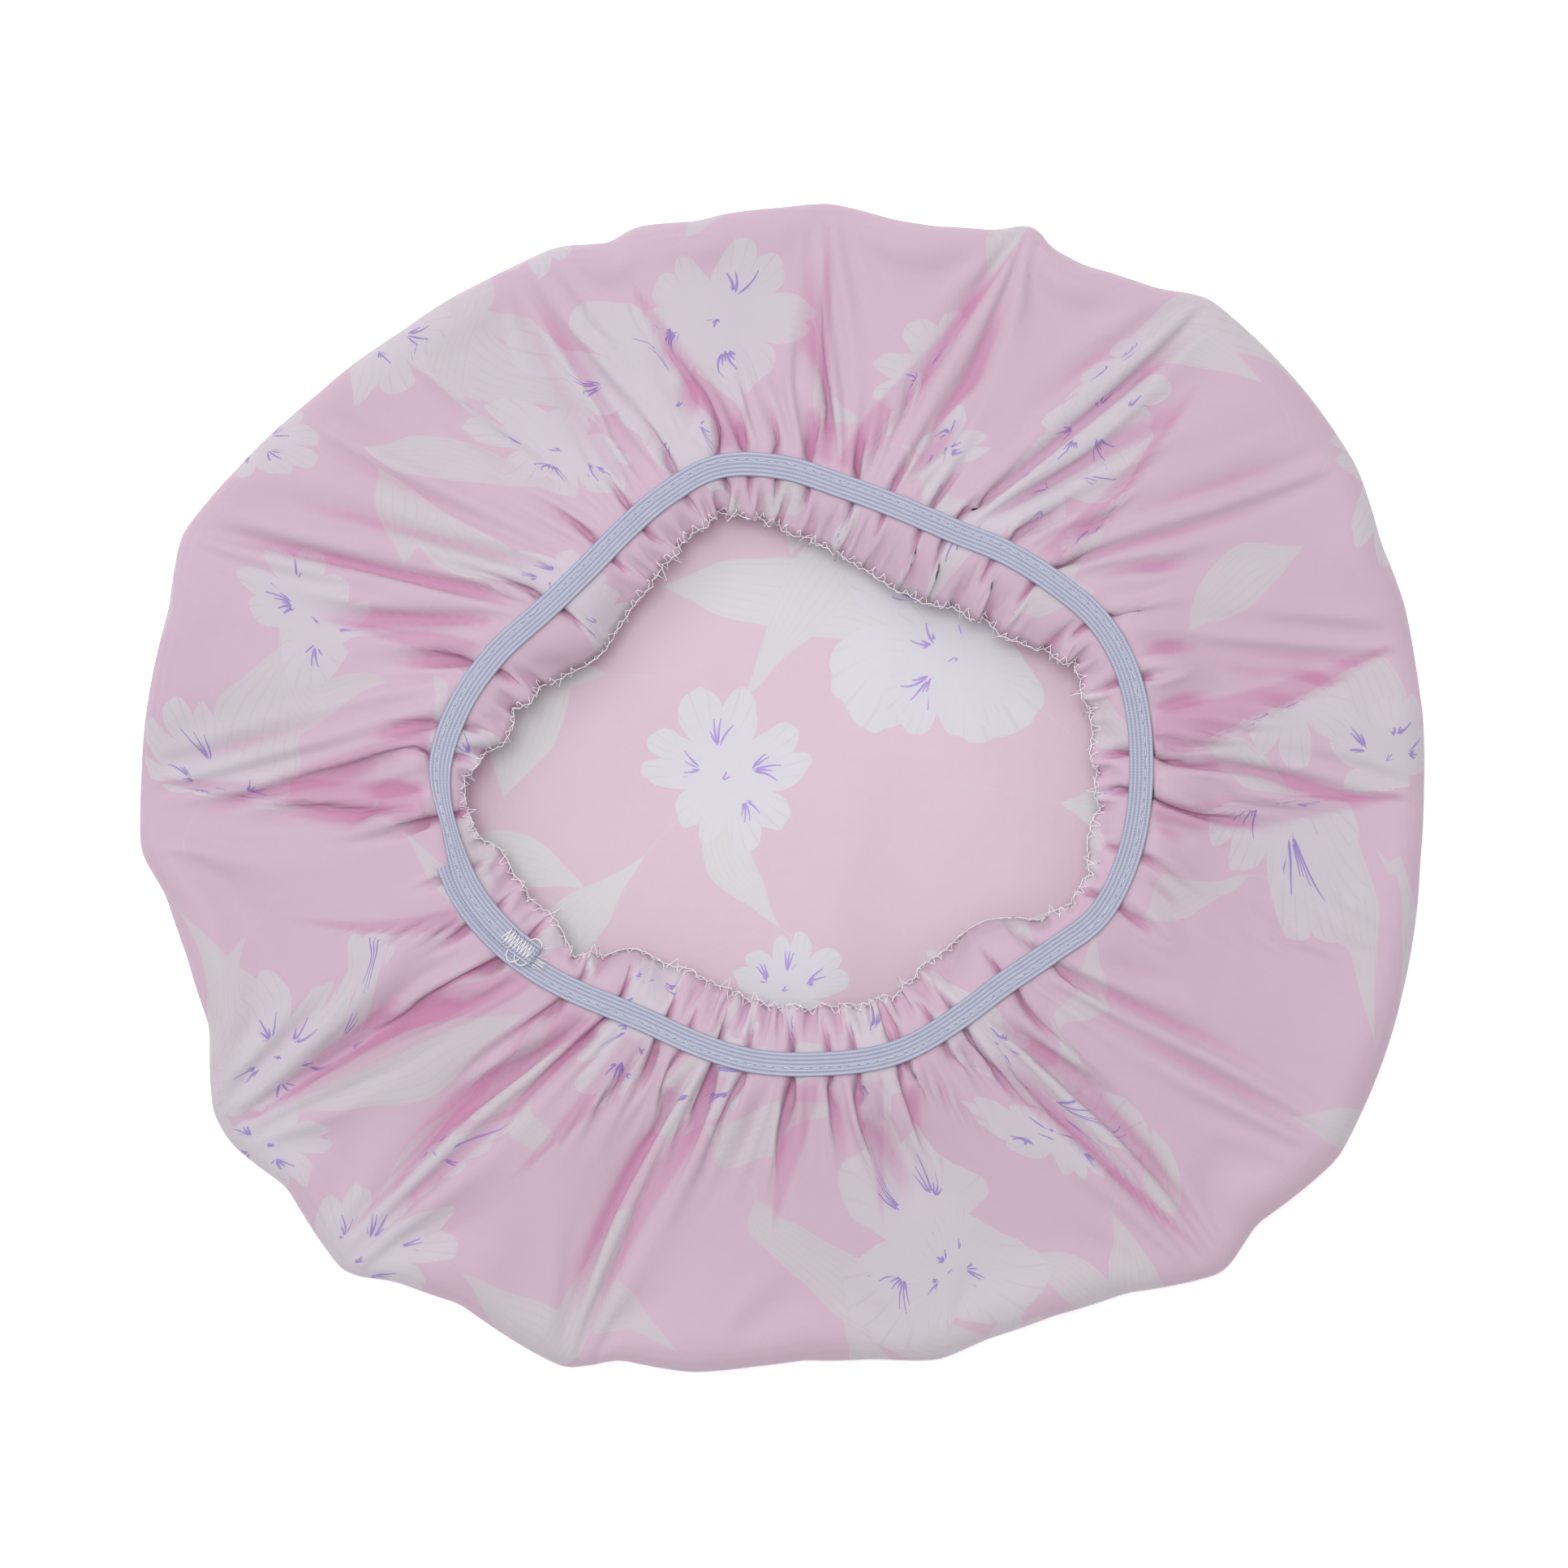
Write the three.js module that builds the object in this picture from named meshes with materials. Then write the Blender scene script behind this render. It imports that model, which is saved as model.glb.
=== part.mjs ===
// A gathered shower cap that lies crown down with its opening up.
// Lengths are millimetres, +Z is up, and the origin is on the surface under the middle of the cap.
// One round piece of coated cloth is the crown, the soft roll round the outside, the brim that
// comes back over the crown and the ruffle inside the elastic. The elastic is one flat braid whose
// ends overlap, and it is sewn on along the gathers.
import * as THREE from "three";

// Clearance between pieces that touch
const seatGap = 0.3;

// Cloth
const capRadius = 146; // mean distance from the middle to the outside roll
const clothThickness = 0.5;
const rollRadius = 6.5; // half the height of the soft roll
const brimSag = 3.1; // how far the brim sags between the roll and the elastic
const foldDepth = 1.6; // how far a main fold sinks below the panels beside it, at the elastic
const rollPinch = 0.12; // share of its height that the roll loses where a main fold meets it
const gatherDepth = 2.6; // depth of the gathers at the elastic
const ruffleWidth = 8.5; // cloth that shows inside the elastic
const ruffleDrop = 2.5; // how far the ruffle hangs below the elastic
const ruffleFlutter = 1.4; // how far its edge wanders from that width
const underBandMargin = 0.8; // level cloth past each side of the elastic
const gathersPerFold = 2;
const rollSteps = 3;
const brimShares = [0.33, 0.67]; // rings between the roll and the elastic
const fluteStride = 2.4; // radians of flutter from one column to the next

// Elastic
const bandRadius = 74; // mean radius of its middle line
const bandOffsetX = 1.7; // its loop lies a little off the middle of the cap
const bandOffsetY = 4;
const bandHeight = 18; // mean height of its underside
const bandWave = 1.5; // how far it rises and falls round the loop
const bandWidth = 5.6;
const bandThickness = 1;
const bandRidges = 6;
const ridgeHeight = 0.25;
const overlapShift = 1.3; // how far each end lies to its own side in the overlap
const bandWaves = 3;
const bandWaveStart = 40; // degrees
const lowerEndAngle = 196; // degrees round the loop
const upperEndAngle = 217;
const climbAngle = 18; // degrees over which the upper end climbs onto the lower one
const bandSteps = 100;

// Sewing threads
const seamThread = 0.4; // diameter of the stitching along the elastic
const seamOffset = 0.9; // from the elastic's middle line, towards the outside
const stitchDip = 0.1; // how far the stitching rises and falls
const seamSteps = 120;
const edgeThread = 0.9; // diameter of the overlocked edge
const tackThread = 0.4; // diameter of the stitching that closes the loop
const tackWidth = 4.2;
const tackPitch = 1.1; // from one pass of the closing stitches to the next
const tackPasses = 4;
const tackMargin = 0.8; // from the closing stitches to the elastic's end, and to the seam
const threadSides = 5;

const degree = Math.PI / 180;
const turn = 2 * Math.PI;

// Outline seen from above, as degrees and shares of capRadius: corners stand where main folds
// meet it, with hollows between them.
const outlineShares = [
  [0, 1.033], [16, 1.042], [29, 1.056], [43, 1.046], [49, 1.042], [54, 0.995],
  [60, 0.965], [66, 0.98], [69, 0.956], [77, 0.926], [86, 0.941], [92, 0.928],
  [99, 0.917], [105, 0.93], [108, 0.915], [113, 0.941], [130, 0.956], [140, 0.98],
  [150, 1.017], [159, 1.044], [165, 1.03], [184, 1.035], [190, 1.012], [197, 1.001],
  [203, 1.004], [211, 1.054], [219, 1.031], [228, 1.051], [232, 1.016], [238, 0.986],
  [249, 0.997], [254, 0.965], [264, 0.943], [272, 0.928], [285, 0.962], [290, 0.952],
  [298, 0.963], [304, 0.988], [312, 1.049], [317, 1.04], [326, 1.078], [334, 1.064],
  [345, 1.046], [353, 1.033],
];

// Middle line of the elastic, as degrees and shares of bandRadius
const bandShares = [
  [0, 1.099], [15, 1.096], [25, 1.068], [35, 1.006], [45, 0.95], [55, 0.899],
  [67, 0.881], [80, 0.896], [92, 0.942], [104, 0.97], [115, 0.94], [127, 0.904],
  [137, 0.893], [148, 0.919], [160, 0.996], [170, 1.058], [180, 1.101], [190, 1.101],
  [200, 1.096], [210, 1.055], [220, 0.999], [230, 0.953], [240, 0.919], [250, 0.917],
  [262, 0.929], [275, 0.935], [290, 0.953], [305, 0.945], [315, 0.955], [325, 1.004],
  [334, 1.071], [345, 1.096],
];

// Main folds of the brim, as the degrees where each one meets the outline and the elastic
const foldLines = [
  [12.6, 6], [34.6, 25], [46, 39], [66.6, 74], [85.6, 88], [106.2, 103], [131.8, 130.7],
  [159.4, 154], [181, 184], [211.9, 213.7], [231.5, 239], [250.4, 255.5], [267.9, 270],
  [287, 286], [311.8, 303.6], [338, 330], [359.2, 352],
];

// A smooth closed curve through a table's shares, as a function of the angle in degrees
function shareAround(table) {
  const knot = (i) => {
    const laps = Math.floor(i / table.length);
    const [angle, share] = table[i - laps * table.length];
    return { angle: angle + 360 * laps, share };
  };
  const slope = (i) =>
    (knot(i + 1).share - knot(i - 1).share) / (knot(i + 1).angle - knot(i - 1).angle);
  return (degrees) => {
    const angle = THREE.MathUtils.euclideanModulo(degrees, 360);
    const i = table.findLastIndex(([start]) => start <= angle);
    const span = knot(i + 1).angle - knot(i).angle;
    const t = (angle - knot(i).angle) / span;
    return (
      knot(i).share * (1 + 2 * t) * (1 - t) ** 2 +
      knot(i + 1).share * (3 - 2 * t) * t ** 2 +
      span * t * (1 - t) * (slope(i) * (1 - t) - slope(i + 1) * t)
    );
  };
}

const outlineShare = shareAround(outlineShares);
const bandShare = shareAround(bandShares);

function outlinePoint(degrees) {
  const radius = capRadius * outlineShare(degrees);
  const x = radius * Math.cos(degrees * degree);
  const y = radius * Math.sin(degrees * degree);
  return new THREE.Vector3(x, y, 0);
}

function bandPoint(degrees) {
  const radius = bandRadius * bandShare(degrees);
  const x = bandOffsetX + radius * Math.cos(degrees * degree);
  const y = bandOffsetY + radius * Math.sin(degrees * degree);
  return new THREE.Vector3(x, y, 0);
}

function bandUnderside(degrees) {
  return bandHeight + bandWave * Math.cos(bandWaves * (degrees - bandWaveStart) * degree);
}

// Columns of the cloth, spread so that each main fold has the same whole number of gathers.
// dip is 1 along a main fold and 0 on the panels between, and gather is 1 at the bottom of a
// gather and 0 on top of it.
function clothColumns() {
  const { lerp } = THREE.MathUtils;
  const steps = 2 * gathersPerFold;
  return foldLines.flatMap(([atOutline, atBand], fold) => {
    const next = foldLines[fold + 1] ?? foldLines[0].map((angle) => angle + 360);
    return Array.from({ length: steps }, (_, k) => ({
      outlineDegrees: lerp(atOutline, next[0], k / steps),
      bandDegrees: lerp(atBand, next[1], k / steps),
      dip: (1 + Math.cos((turn * k) / steps)) / 2,
      gather: (k + 1) % 2,
      flute: Math.sin(fluteStride * (fold * steps + k)),
    }));
  });
}

// Middle surface of the cloth along one column, from the crown's flat edge to the ruffle's edge
function clothSection({ outlineDegrees, bandDegrees, dip, gather, flute }) {
  const outline = outlinePoint(outlineDegrees);
  const band = bandPoint(bandDegrees);
  const outward = outline.clone().normalize();
  const inward = band.clone().sub(outline).normalize();
  const half = clothThickness / 2;
  const reach = rollRadius * (1 - rollPinch * dip) - half;
  const at = (start, direction, distance, height) =>
    start.clone().addScaledVector(direction, distance).setZ(height);

  const points = [at(outline, outward, -rollRadius, half)];
  for (let i = 1; i <= rollSteps; i += 1) {
    const angle = (Math.PI * i) / rollSteps;
    const inset = half + reach * (1 - Math.sin(angle));
    points.push(at(outline, inward, inset, half + reach * (1 - Math.cos(angle))));
  }

  const underBand = bandWidth / 2 + underBandMargin;
  const seat = bandUnderside(bandDegrees) - seatGap - half;
  const crest = seat - gatherDepth * gather;
  const rollTop = points[points.length - 1];
  const bandOuter = at(band, inward, -underBand, crest);
  for (const share of brimShares) {
    const height = THREE.MathUtils.lerp(rollTop.z, seat, share);
    const hollow = brimSag * Math.sin(Math.PI * share) + foldDepth * share * dip;
    points.push(rollTop.clone().lerp(bandOuter, share).setZ(height - hollow));
  }
  points.push(bandOuter, at(band, inward, underBand, crest));

  const ruffle = ruffleWidth - underBandMargin + ruffleFlutter * flute;
  points.push(at(band, inward, underBand + ruffle, crest - ruffleDrop));
  return points;
}

// Closed surface through rings of points that run anticlockwise about the way from one ring to
// the next. Two end points close it, and without them its last ring joins its first. From ring
// backFrom on, each four-sided patch is split along its other diagonal: the two skins of a sheet
// then fold alike and never meet.
function ringSurface(rings, ends = [], backFrom = rings.length) {
  const width = rings[0].length;
  const points = [...rings.flat(), ...ends];
  const faces = [];
  const joins = ends.length ? rings.length - 1 : rings.length;
  for (let i = 0; i < joins; i += 1) {
    const here = i * width;
    const next = ((i + 1) % rings.length) * width;
    for (let j = 0; j < width; j += 1) {
      const k = (j + 1) % width;
      if (i < backFrom) {
        faces.push(here + j, here + k, next + k, here + j, next + k, next + j);
      } else {
        faces.push(here + j, here + k, next + j, here + k, next + k, next + j);
      }
    }
  }
  if (ends.length) {
    const first = rings.length * width;
    const last = first - width;
    for (let j = 0; j < width; j += 1) {
      const k = (j + 1) % width;
      faces.push(first, k, j, first + 1, last + j, last + k);
    }
  }
  const geometry = new THREE.BufferGeometry().setFromPoints(points).setIndex(faces);
  geometry.computeVertexNormals();
  return geometry;
}

const clothSections = clothColumns().map(clothSection);

// Direction square to the middle surface at ring i of column j: down under the crown, out round
// the roll and up on the brim
function clothNormal(j, i) {
  const width = clothSections.length;
  const column = clothSections[j];
  const across = clothSections[(j + 1) % width][i].clone();
  across.sub(clothSections[(j + width - 1) % width][i]);
  const along = column[Math.min(i + 1, column.length - 1)].clone();
  along.sub(column[Math.max(i - 1, 0)]);
  return across.cross(along).normalize();
}

// The crown lies flat from the middle to the first ring, so it rests on its whole underside
function clothGeometry() {
  const half = clothThickness / 2;
  const down = new THREE.Vector3(0, 0, -1);
  const skin = (side) =>
    clothSections[0].map((_, i) =>
      clothSections.map((column, j) =>
        column[i].clone().addScaledVector(i ? clothNormal(j, i) : down, side * half),
      ),
    );
  const ends = [new THREE.Vector3(0, 0, 0), new THREE.Vector3(0, 0, clothThickness)];
  const outside = skin(1);
  return ringSurface([...outside, ...skin(-1).reverse()], ends, outside.length);
}

// Round thread along a path that stays near level
function threadGeometry(path, diameter, closed) {
  const last = path.length - 1;
  const rings = path.map((point, i) => {
    const before = i ? path[i - 1] : path[closed ? last : 0];
    const after = i < last ? path[i + 1] : path[closed ? 0 : last];
    const forward = after.clone().sub(before).normalize();
    const side = new THREE.Vector3(-forward.y, forward.x, 0).normalize();
    const up = forward.clone().cross(side);
    return Array.from({ length: threadSides }, (_, k) => {
      const across = (diameter / 2) * Math.cos((turn * k) / threadSides);
      const height = (diameter / 2) * Math.sin((turn * k) / threadSides);
      return point.clone().addScaledVector(side, across).addScaledVector(up, height);
    });
  });
  return ringSurface(rings, closed ? [] : [path[0], path[last]]);
}

// Where the elastic lies, from its lower end round the loop and up onto itself: the middle of
// its underside, and the level direction out across it
const startAngle = lowerEndAngle;
const endAngle = upperEndAngle + 360;

function bandPlace(degrees) {
  const { smoothstep } = THREE.MathUtils;
  const climb = smoothstep(degrees, lowerEndAngle + 360 - climbAngle, lowerEndAngle + 360);
  const under = 1 - smoothstep(degrees, upperEndAngle, upperEndAngle + climbAngle);
  const forward = bandPoint(degrees + 1).sub(bandPoint(degrees - 1)).normalize();
  const out = new THREE.Vector3(forward.y, -forward.x, 0);
  const place = bandPoint(degrees).addScaledVector(out, overlapShift * (under - climb));
  place.z = bandUnderside(degrees) + (bandThickness + seatGap) * climb;
  return { place, out };
}

function onBand(degrees, across, height) {
  const { place, out } = bandPlace(degrees);
  return place.addScaledVector(out, across).setZ(place.z + height);
}

// Flat underside, straight edges and a row of low ridges on top
function bandSection(degrees) {
  const half = bandWidth / 2;
  const groove = bandThickness - ridgeHeight;
  const section = [[half, 0], [-half, 0], [-half, groove]];
  for (let i = 0; i < bandRidges; i += 1) {
    const start = -half + (bandWidth * i) / bandRidges;
    section.push([start + bandWidth / bandRidges / 2, bandThickness]);
    section.push([start + bandWidth / bandRidges, groove]);
  }
  return section.map(([across, height]) => onBand(degrees, across, height));
}

function bandGeometry() {
  const angles = Array.from({ length: bandSteps + 1 }, (_, i) =>
    THREE.MathUtils.lerp(startAngle, endAngle, i / bandSteps),
  );
  const ends = [startAngle, endAngle].map((angle) => onBand(angle, 0, bandThickness / 2));
  return ringSurface(angles.map((angle) => bandSection(angle)), ends);
}

// Degrees of the loop that a length along the elastic takes
function bandAngle(length) {
  return length / bandRadius / degree;
}

// Stitching along the elastic, from just past the upper end round to the closing stitches
function seamPath() {
  const tackLength = tackPitch * tackPasses;
  const start = upperEndAngle + climbAngle;
  const end = endAngle - bandAngle(2 * tackMargin + tackLength);
  return Array.from({ length: seamSteps + 1 }, (_, i) => {
    const dip = stitchDip * (i % 2);
    const height = bandThickness + seatGap + seamThread / 2 + dip;
    return onBand(THREE.MathUtils.lerp(start, end, i / seamSteps), seamOffset, height);
  });
}

// Closing stitches that run to and fro across the elastic's upper end, with round turns
function tackPath() {
  const height = bandThickness + seatGap + tackThread / 2;
  const turnRadius = tackPitch / 2;
  const turnSteps = 4;
  const path = [];
  for (let pass = 0; pass < tackPasses; pass += 1) {
    const side = pass % 2 ? -1 : 1;
    const back = tackMargin + tackPitch * (pass + 1);
    for (let k = 0; k <= turnSteps; k += 1) {
      const angle = (Math.PI * k) / turnSteps;
      const across = side * (tackWidth / 2 - turnRadius + turnRadius * Math.sin(angle));
      const along = back - turnRadius * (1 + Math.cos(angle));
      path.push(onBand(endAngle - bandAngle(along), across, height));
    }
  }
  return path;
}

// Overlocked edge, a bundle of thread just past the ruffle's cut edge
function edgePath() {
  return clothSections.map((column) => {
    const [before, edge] = column.slice(-2);
    const outward = edge.clone().sub(before).normalize();
    return edge.clone().addScaledVector(outward, seatGap + edgeThread / 2);
  });
}

const coatedCloth = new THREE.MeshStandardMaterial({ color: 0xdcb9cb, roughness: 0.5 });
const paleElastic = new THREE.MeshStandardMaterial({ color: 0xb3b6ca, roughness: 0.85 });
const paleThread = new THREE.MeshStandardMaterial({ color: 0xe4dce6, roughness: 0.7 });

const cap = new THREE.Group();

function add(name, geometry, material) {
  const mesh = new THREE.Mesh(geometry, material);
  mesh.name = name;
  cap.add(mesh);
}

add("cap_cloth", clothGeometry(), coatedCloth);
add("elastic_band", bandGeometry(), paleElastic);
add("band_seam_thread", threadGeometry(seamPath(), seamThread, false), paleThread);
add("edge_overlock_thread", threadGeometry(edgePath(), edgeThread, true), paleThread);
add("join_bartack_thread", threadGeometry(tackPath(), tackThread, false), paleThread);

// The origin goes under the middle of the box round the cap
const box = new THREE.Box3().setFromObject(cap);
const middle = box.getCenter(new THREE.Vector3());
cap.position.set(-middle.x, -middle.y, -box.min.z);

export default cap;
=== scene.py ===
"""A gathered shower cap that lies crown down, seen from straight above.

One round of thin coated cloth is the crown, the roll round the outside, the gathered brim and the
ruffle inside the elastic. Lengths are metres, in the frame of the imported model.
"""
import functools
import math

import bmesh
import bpy
import numpy as np
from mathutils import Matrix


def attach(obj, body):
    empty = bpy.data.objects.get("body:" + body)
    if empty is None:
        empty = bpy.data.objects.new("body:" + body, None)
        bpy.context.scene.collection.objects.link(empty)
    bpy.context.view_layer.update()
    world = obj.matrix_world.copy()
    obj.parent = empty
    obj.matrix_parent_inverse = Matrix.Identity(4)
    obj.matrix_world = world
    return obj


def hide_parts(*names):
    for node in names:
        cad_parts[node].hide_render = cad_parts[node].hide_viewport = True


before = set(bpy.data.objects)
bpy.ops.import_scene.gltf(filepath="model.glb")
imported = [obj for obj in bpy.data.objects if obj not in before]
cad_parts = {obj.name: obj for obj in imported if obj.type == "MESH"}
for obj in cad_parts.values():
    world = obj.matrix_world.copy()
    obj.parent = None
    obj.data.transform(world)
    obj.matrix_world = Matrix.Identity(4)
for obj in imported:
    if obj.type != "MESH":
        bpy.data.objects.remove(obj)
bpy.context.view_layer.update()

MM = 0.001
TURN = 2 * math.pi
SEED, TUCK_SEED = 7, 5

# The round of cloth, sewn and gathered
CAP_RADIUS = 146 * MM  # mean distance from the middle to the outside of the roll
ROLL_RADIUS = 6.5 * MM
CROWN_HEIGHT = 0.3 * MM  # middle of the cloth above the surface it lies on
CLOTH_THICKNESS = 0.2 * MM
BRIM_SAG = 3.1 * MM  # between the roll and the elastic
RUFFLE_SLOPE = 0.42  # how far the ruffle falls, as a share of its width

# The elastic
BAND_RADIUS = 74 * MM
BAND_MIDDLE = np.array([1.7 * MM, 4 * MM])
BAND_HEIGHT = 18 * MM
BAND_WAVE, BAND_WAVES, WAVE_START = 1.5 * MM, 3, 40  # height, count and degrees of the first
BAND_WIDTH = 5.6 * MM
BAND_THICKNESS = 1 * MM
BAND_RIDGES = 6
RIDGE_HEIGHT = 0.3 * MM
SEAT_GAP = 0.3 * MM
SEAT_MARGIN = 0.4 * MM  # of the level cloth on each side of the elastic
LOWER_END, UPPER_END = 196, 217  # degrees round the loop
CLIMB = 18  # degrees over which the upper end climbs onto the lower one
OVERLAP_SHIFT = 1.3 * MM

# Outline from above, as degrees and shares of CAP_RADIUS: a corner stands where a main fold ends
OUTLINE_SHARES = [
    (0, 1.033), (9, 1.036), (16, 1.042), (22, 1.037), (29, 1.056), (36, 1.052), (43, 1.046),
    (49, 1.042), (53, 1.0), (60, 0.965), (63.5, 0.965), (66, 0.991), (69, 0.956), (75, 0.93),
    (79, 0.926), (85.6, 0.941), (90, 0.93), (96, 0.924), (99, 0.917), (105, 0.93), (108, 0.915),
    (113, 0.941), (121, 0.945), (130, 0.956), (140, 0.98), (150, 1.017), (157.5, 1.052),
    (164, 1.03), (172, 1.033), (186, 1.043), (190, 1.012), (196, 1.001), (203, 1.004),
    (210, 1.064), (213, 1.066), (219, 1.031), (228, 1.062), (232, 1.016), (238, 0.986),
    (249.5, 1.008), (254, 0.965), (261, 0.96), (267, 0.94), (272, 0.928), (279, 0.938), (285, 0.962),
    (290, 0.952), (297, 0.96), (304, 0.988), (312, 1.062), (317, 1.04), (326, 1.078),
    (333, 1.066), (345, 1.046), (353, 1.033),
]

# Middle line of the elastic, as degrees and shares of BAND_RADIUS
BAND_SHARES = [
    (0, 1.099), (15, 1.096), (25, 1.068), (35, 1.006), (45, 0.95), (55, 0.899), (67, 0.881),
    (80, 0.896), (92, 0.942), (104, 0.97), (115, 0.94), (127, 0.904), (137, 0.893),
    (148, 0.919), (160, 0.996), (170, 1.058), (180, 1.101), (190, 1.101), (200, 1.096),
    (210, 1.055), (220, 0.999), (230, 0.953), (240, 0.919), (250, 0.917), (262, 0.929),
    (275, 0.935), (290, 0.953), (305, 0.945), (315, 0.955), (325, 1.004), (334, 1.071),
    (345, 1.096),
]

# Folds of the brim: degrees at the roll and at the elastic, where along the brim each one starts
# (0 at the roll, 1 at the elastic) and its strength. Below 0 it stands up as a ridge.
FOLDS = [
    (12.6, 2.4, -0.15, 1.3), (34.6, 25.3, 0.5, 0.9), (45.5, 37.2, 0.12, 1.0),
    (49.2, 62, -0.1, -0.7), (45.9, 55.9, 0.45, 0.9), (66.6, 77.2, -0.1, 0.95),
    (85.6, 86.8, -0.1, 1.0), (96.6, 92.8, 0.7, 0.8), (94.3, 98.2, 0.6, 0.8),
    (107.6, 103.3, 0.05, 1.15), (117.8, 117.8, -0.1, -0.9), (131.3, 125.1, -0.1, -0.8),
    (131.8, 130.7, 0.7, 0.8), (141.9, 139.8, -0.1, -0.8), (158.4, 145.9, 0.5, 1.1),
    (160.3, 162.2, 0.4, 1.1), (174.1, 173, 0.7, 0.9), (183.1, 178.3, 0.3, 0.8),
    (179.8, 188.4, -0.15, 1.25), (189.8, 206, 0.3, 0.7), (211.9, 213.7, -0.1, 1.2),
    (225.7, 225.5, -0.1, 0.7), (231.2, 233.7, 0.4, 1.0), (231.7, 243.9, 0.35, 1.0),
    (250.4, 255.5, -0.1, 1.1), (261.9, 261.2, 0.55, 0.9), (267.9, 270, 0.4, 1.3),
    (273.2, 277.3, 0.6, 0.9), (281.4, 282.3, 0.4, 0.9), (289.5, 290, 0.45, 0.9),
    (311.6, 291.3, 0.5, 0.8), (318.3, 298.8, 0.55, 0.8), (311.8, 303.6, -0.1, 1.0),
    (320.2, 315.1, 0.5, 0.9), (345.3, 336.4, 0.4, -0.8), (359.2, 355.7, -0.25, 1.35),
]

# What can be seen of the ruffle inside the elastic, as degrees and millimetres
RUFFLE_WIDTHS = [
    (4, 8), (15, 8), (22, 8), (31, 13), (45, 14), (59, 15), (75, 12), (90, 10.5), (98, 9),
    (106, 7.5), (119, 8.3), (130, 10), (139, 12.2), (148, 14.5), (158, 11), (166, 9),
    (173, 9.6), (180, 4), (187, 2.5), (193, 4), (199, 8.5), (207, 8), (214, 7.5), (223, 4),
    (232, 11.9), (241, 11.5), (249, 11.3), (265, 10), (281, 10), (296, 9.5), (308, 13),
    (319, 16.5), (327, 6), (338, 4), (347, 7), (353, 6.5),
]


def shares_around(table):
    """A smooth closed curve through a table's shares, as a function of the angle in degrees."""
    angles, shares = np.array(table, float).T
    angles = np.concatenate([angles - 360, angles, angles + 360])
    shares = np.tile(shares, 3)
    slopes = np.zeros(len(shares))
    slopes[1:-1] = (shares[2:] - shares[:-2]) / (angles[2:] - angles[:-2])

    def share(degrees):
        degrees = np.mod(degrees, 360)
        i = np.searchsorted(angles, degrees, side="right") - 1
        span = angles[i + 1] - angles[i]
        t = (degrees - angles[i]) / span
        return (
            shares[i] * (1 + 2 * t) * (1 - t) ** 2
            + shares[i + 1] * (3 - 2 * t) * t**2
            + span * t * (1 - t) * (slopes[i] * (1 - t) - slopes[i + 1] * t)
        )

    return share


CORNER_SOFTNESS = 1.2  # degrees over which the outline turns a corner


def outline_share(degrees):
    """The outline is taut and near straight between its corners."""
    angles, shares = np.array(OUTLINE_SHARES).T
    around = [degrees + CORNER_SOFTNESS * k / 2 for k in (-1, 0, 1)]
    return np.mean([np.interp(a, angles, shares, period=360) for a in around], axis=0)


band_share = shares_around(BAND_SHARES)
ruffle_millimetres = shares_around(RUFFLE_WIDTHS)


def rays(degrees):
    angle = np.radians(degrees)
    return np.stack([np.cos(angle), np.sin(angle)], axis=-1)


def outline_points(degrees):
    return CAP_RADIUS * outline_share(degrees)[..., None] * rays(degrees)


def band_points(degrees):
    return BAND_MIDDLE + BAND_RADIUS * band_share(degrees)[..., None] * rays(degrees)


def band_underside(degrees):
    return BAND_HEIGHT + BAND_WAVE * np.cos(BAND_WAVES * np.radians(degrees - WAVE_START))


def smooth_ramp(value, low, high):
    t = np.clip((value - low) / (high - low), 0, 1)
    return t * t * (3 - 2 * t)


def bell(value, width):
    return np.exp(-0.5 * (value / width) ** 2)


def unit(vectors):
    return vectors / np.maximum(np.linalg.norm(vectors, axis=-1, keepdims=True), 1e-12)


# The cloth as a grid of rings, from the crown out, round the roll and in to the ruffle's edge.
# Zones name the parts that a ring can belong to.
CROWN, ROLL, BRIM, UNDER_BAND, RUFFLE = range(5)
COLUMNS = 960
CROWN_RINGS = 8
ROLL_RINGS = 9
BRIM_RINGS = 26
RUFFLE_RINGS = 5
CROWN_EDGE_SHARE = 0.62  # the grid starts this far out on the crown
BESIDE = COLUMNS // 80  # columns on either side of a point that count as the cloth beside it
column_degrees = np.arange(COLUMNS) * 360 / COLUMNS
PINCH = 0.2  # of the roll's radius
PINCH_SPREAD = 3.5  # degrees
SLACK = 0.035  # of the roll's radius
SLACK_WAVES = [(11, 0.4, 1), (17, 2.1, 0.7), (29, 1.3, 0.5)]  # number round, start, share
ROLL_TURN = (0.3 * math.pi, 0.7 * math.pi)  # where the roll's cloth turns from out to in


def degrees_between(first, second):
    return (first - second + 180) % 360 - 180


def roll_fullness():
    """The roll is full between the outline's corners and pinched at them, where folds begin. It
    is slack here and taut there, so its height wanders."""
    around = np.radians(column_degrees)
    waves = [share * np.sin(number * around + start) for number, start, share in SLACK_WAVES]
    pinch = np.zeros(COLUMNS)
    for at_roll, _, start, strength in FOLDS:
        if start < 0:
            near = bell(degrees_between(column_degrees, at_roll), PINCH_SPREAD)
            pinch = np.maximum(pinch, near * abs(strength))
    return 1 - PINCH * pinch + SLACK * sum(waves)


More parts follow.
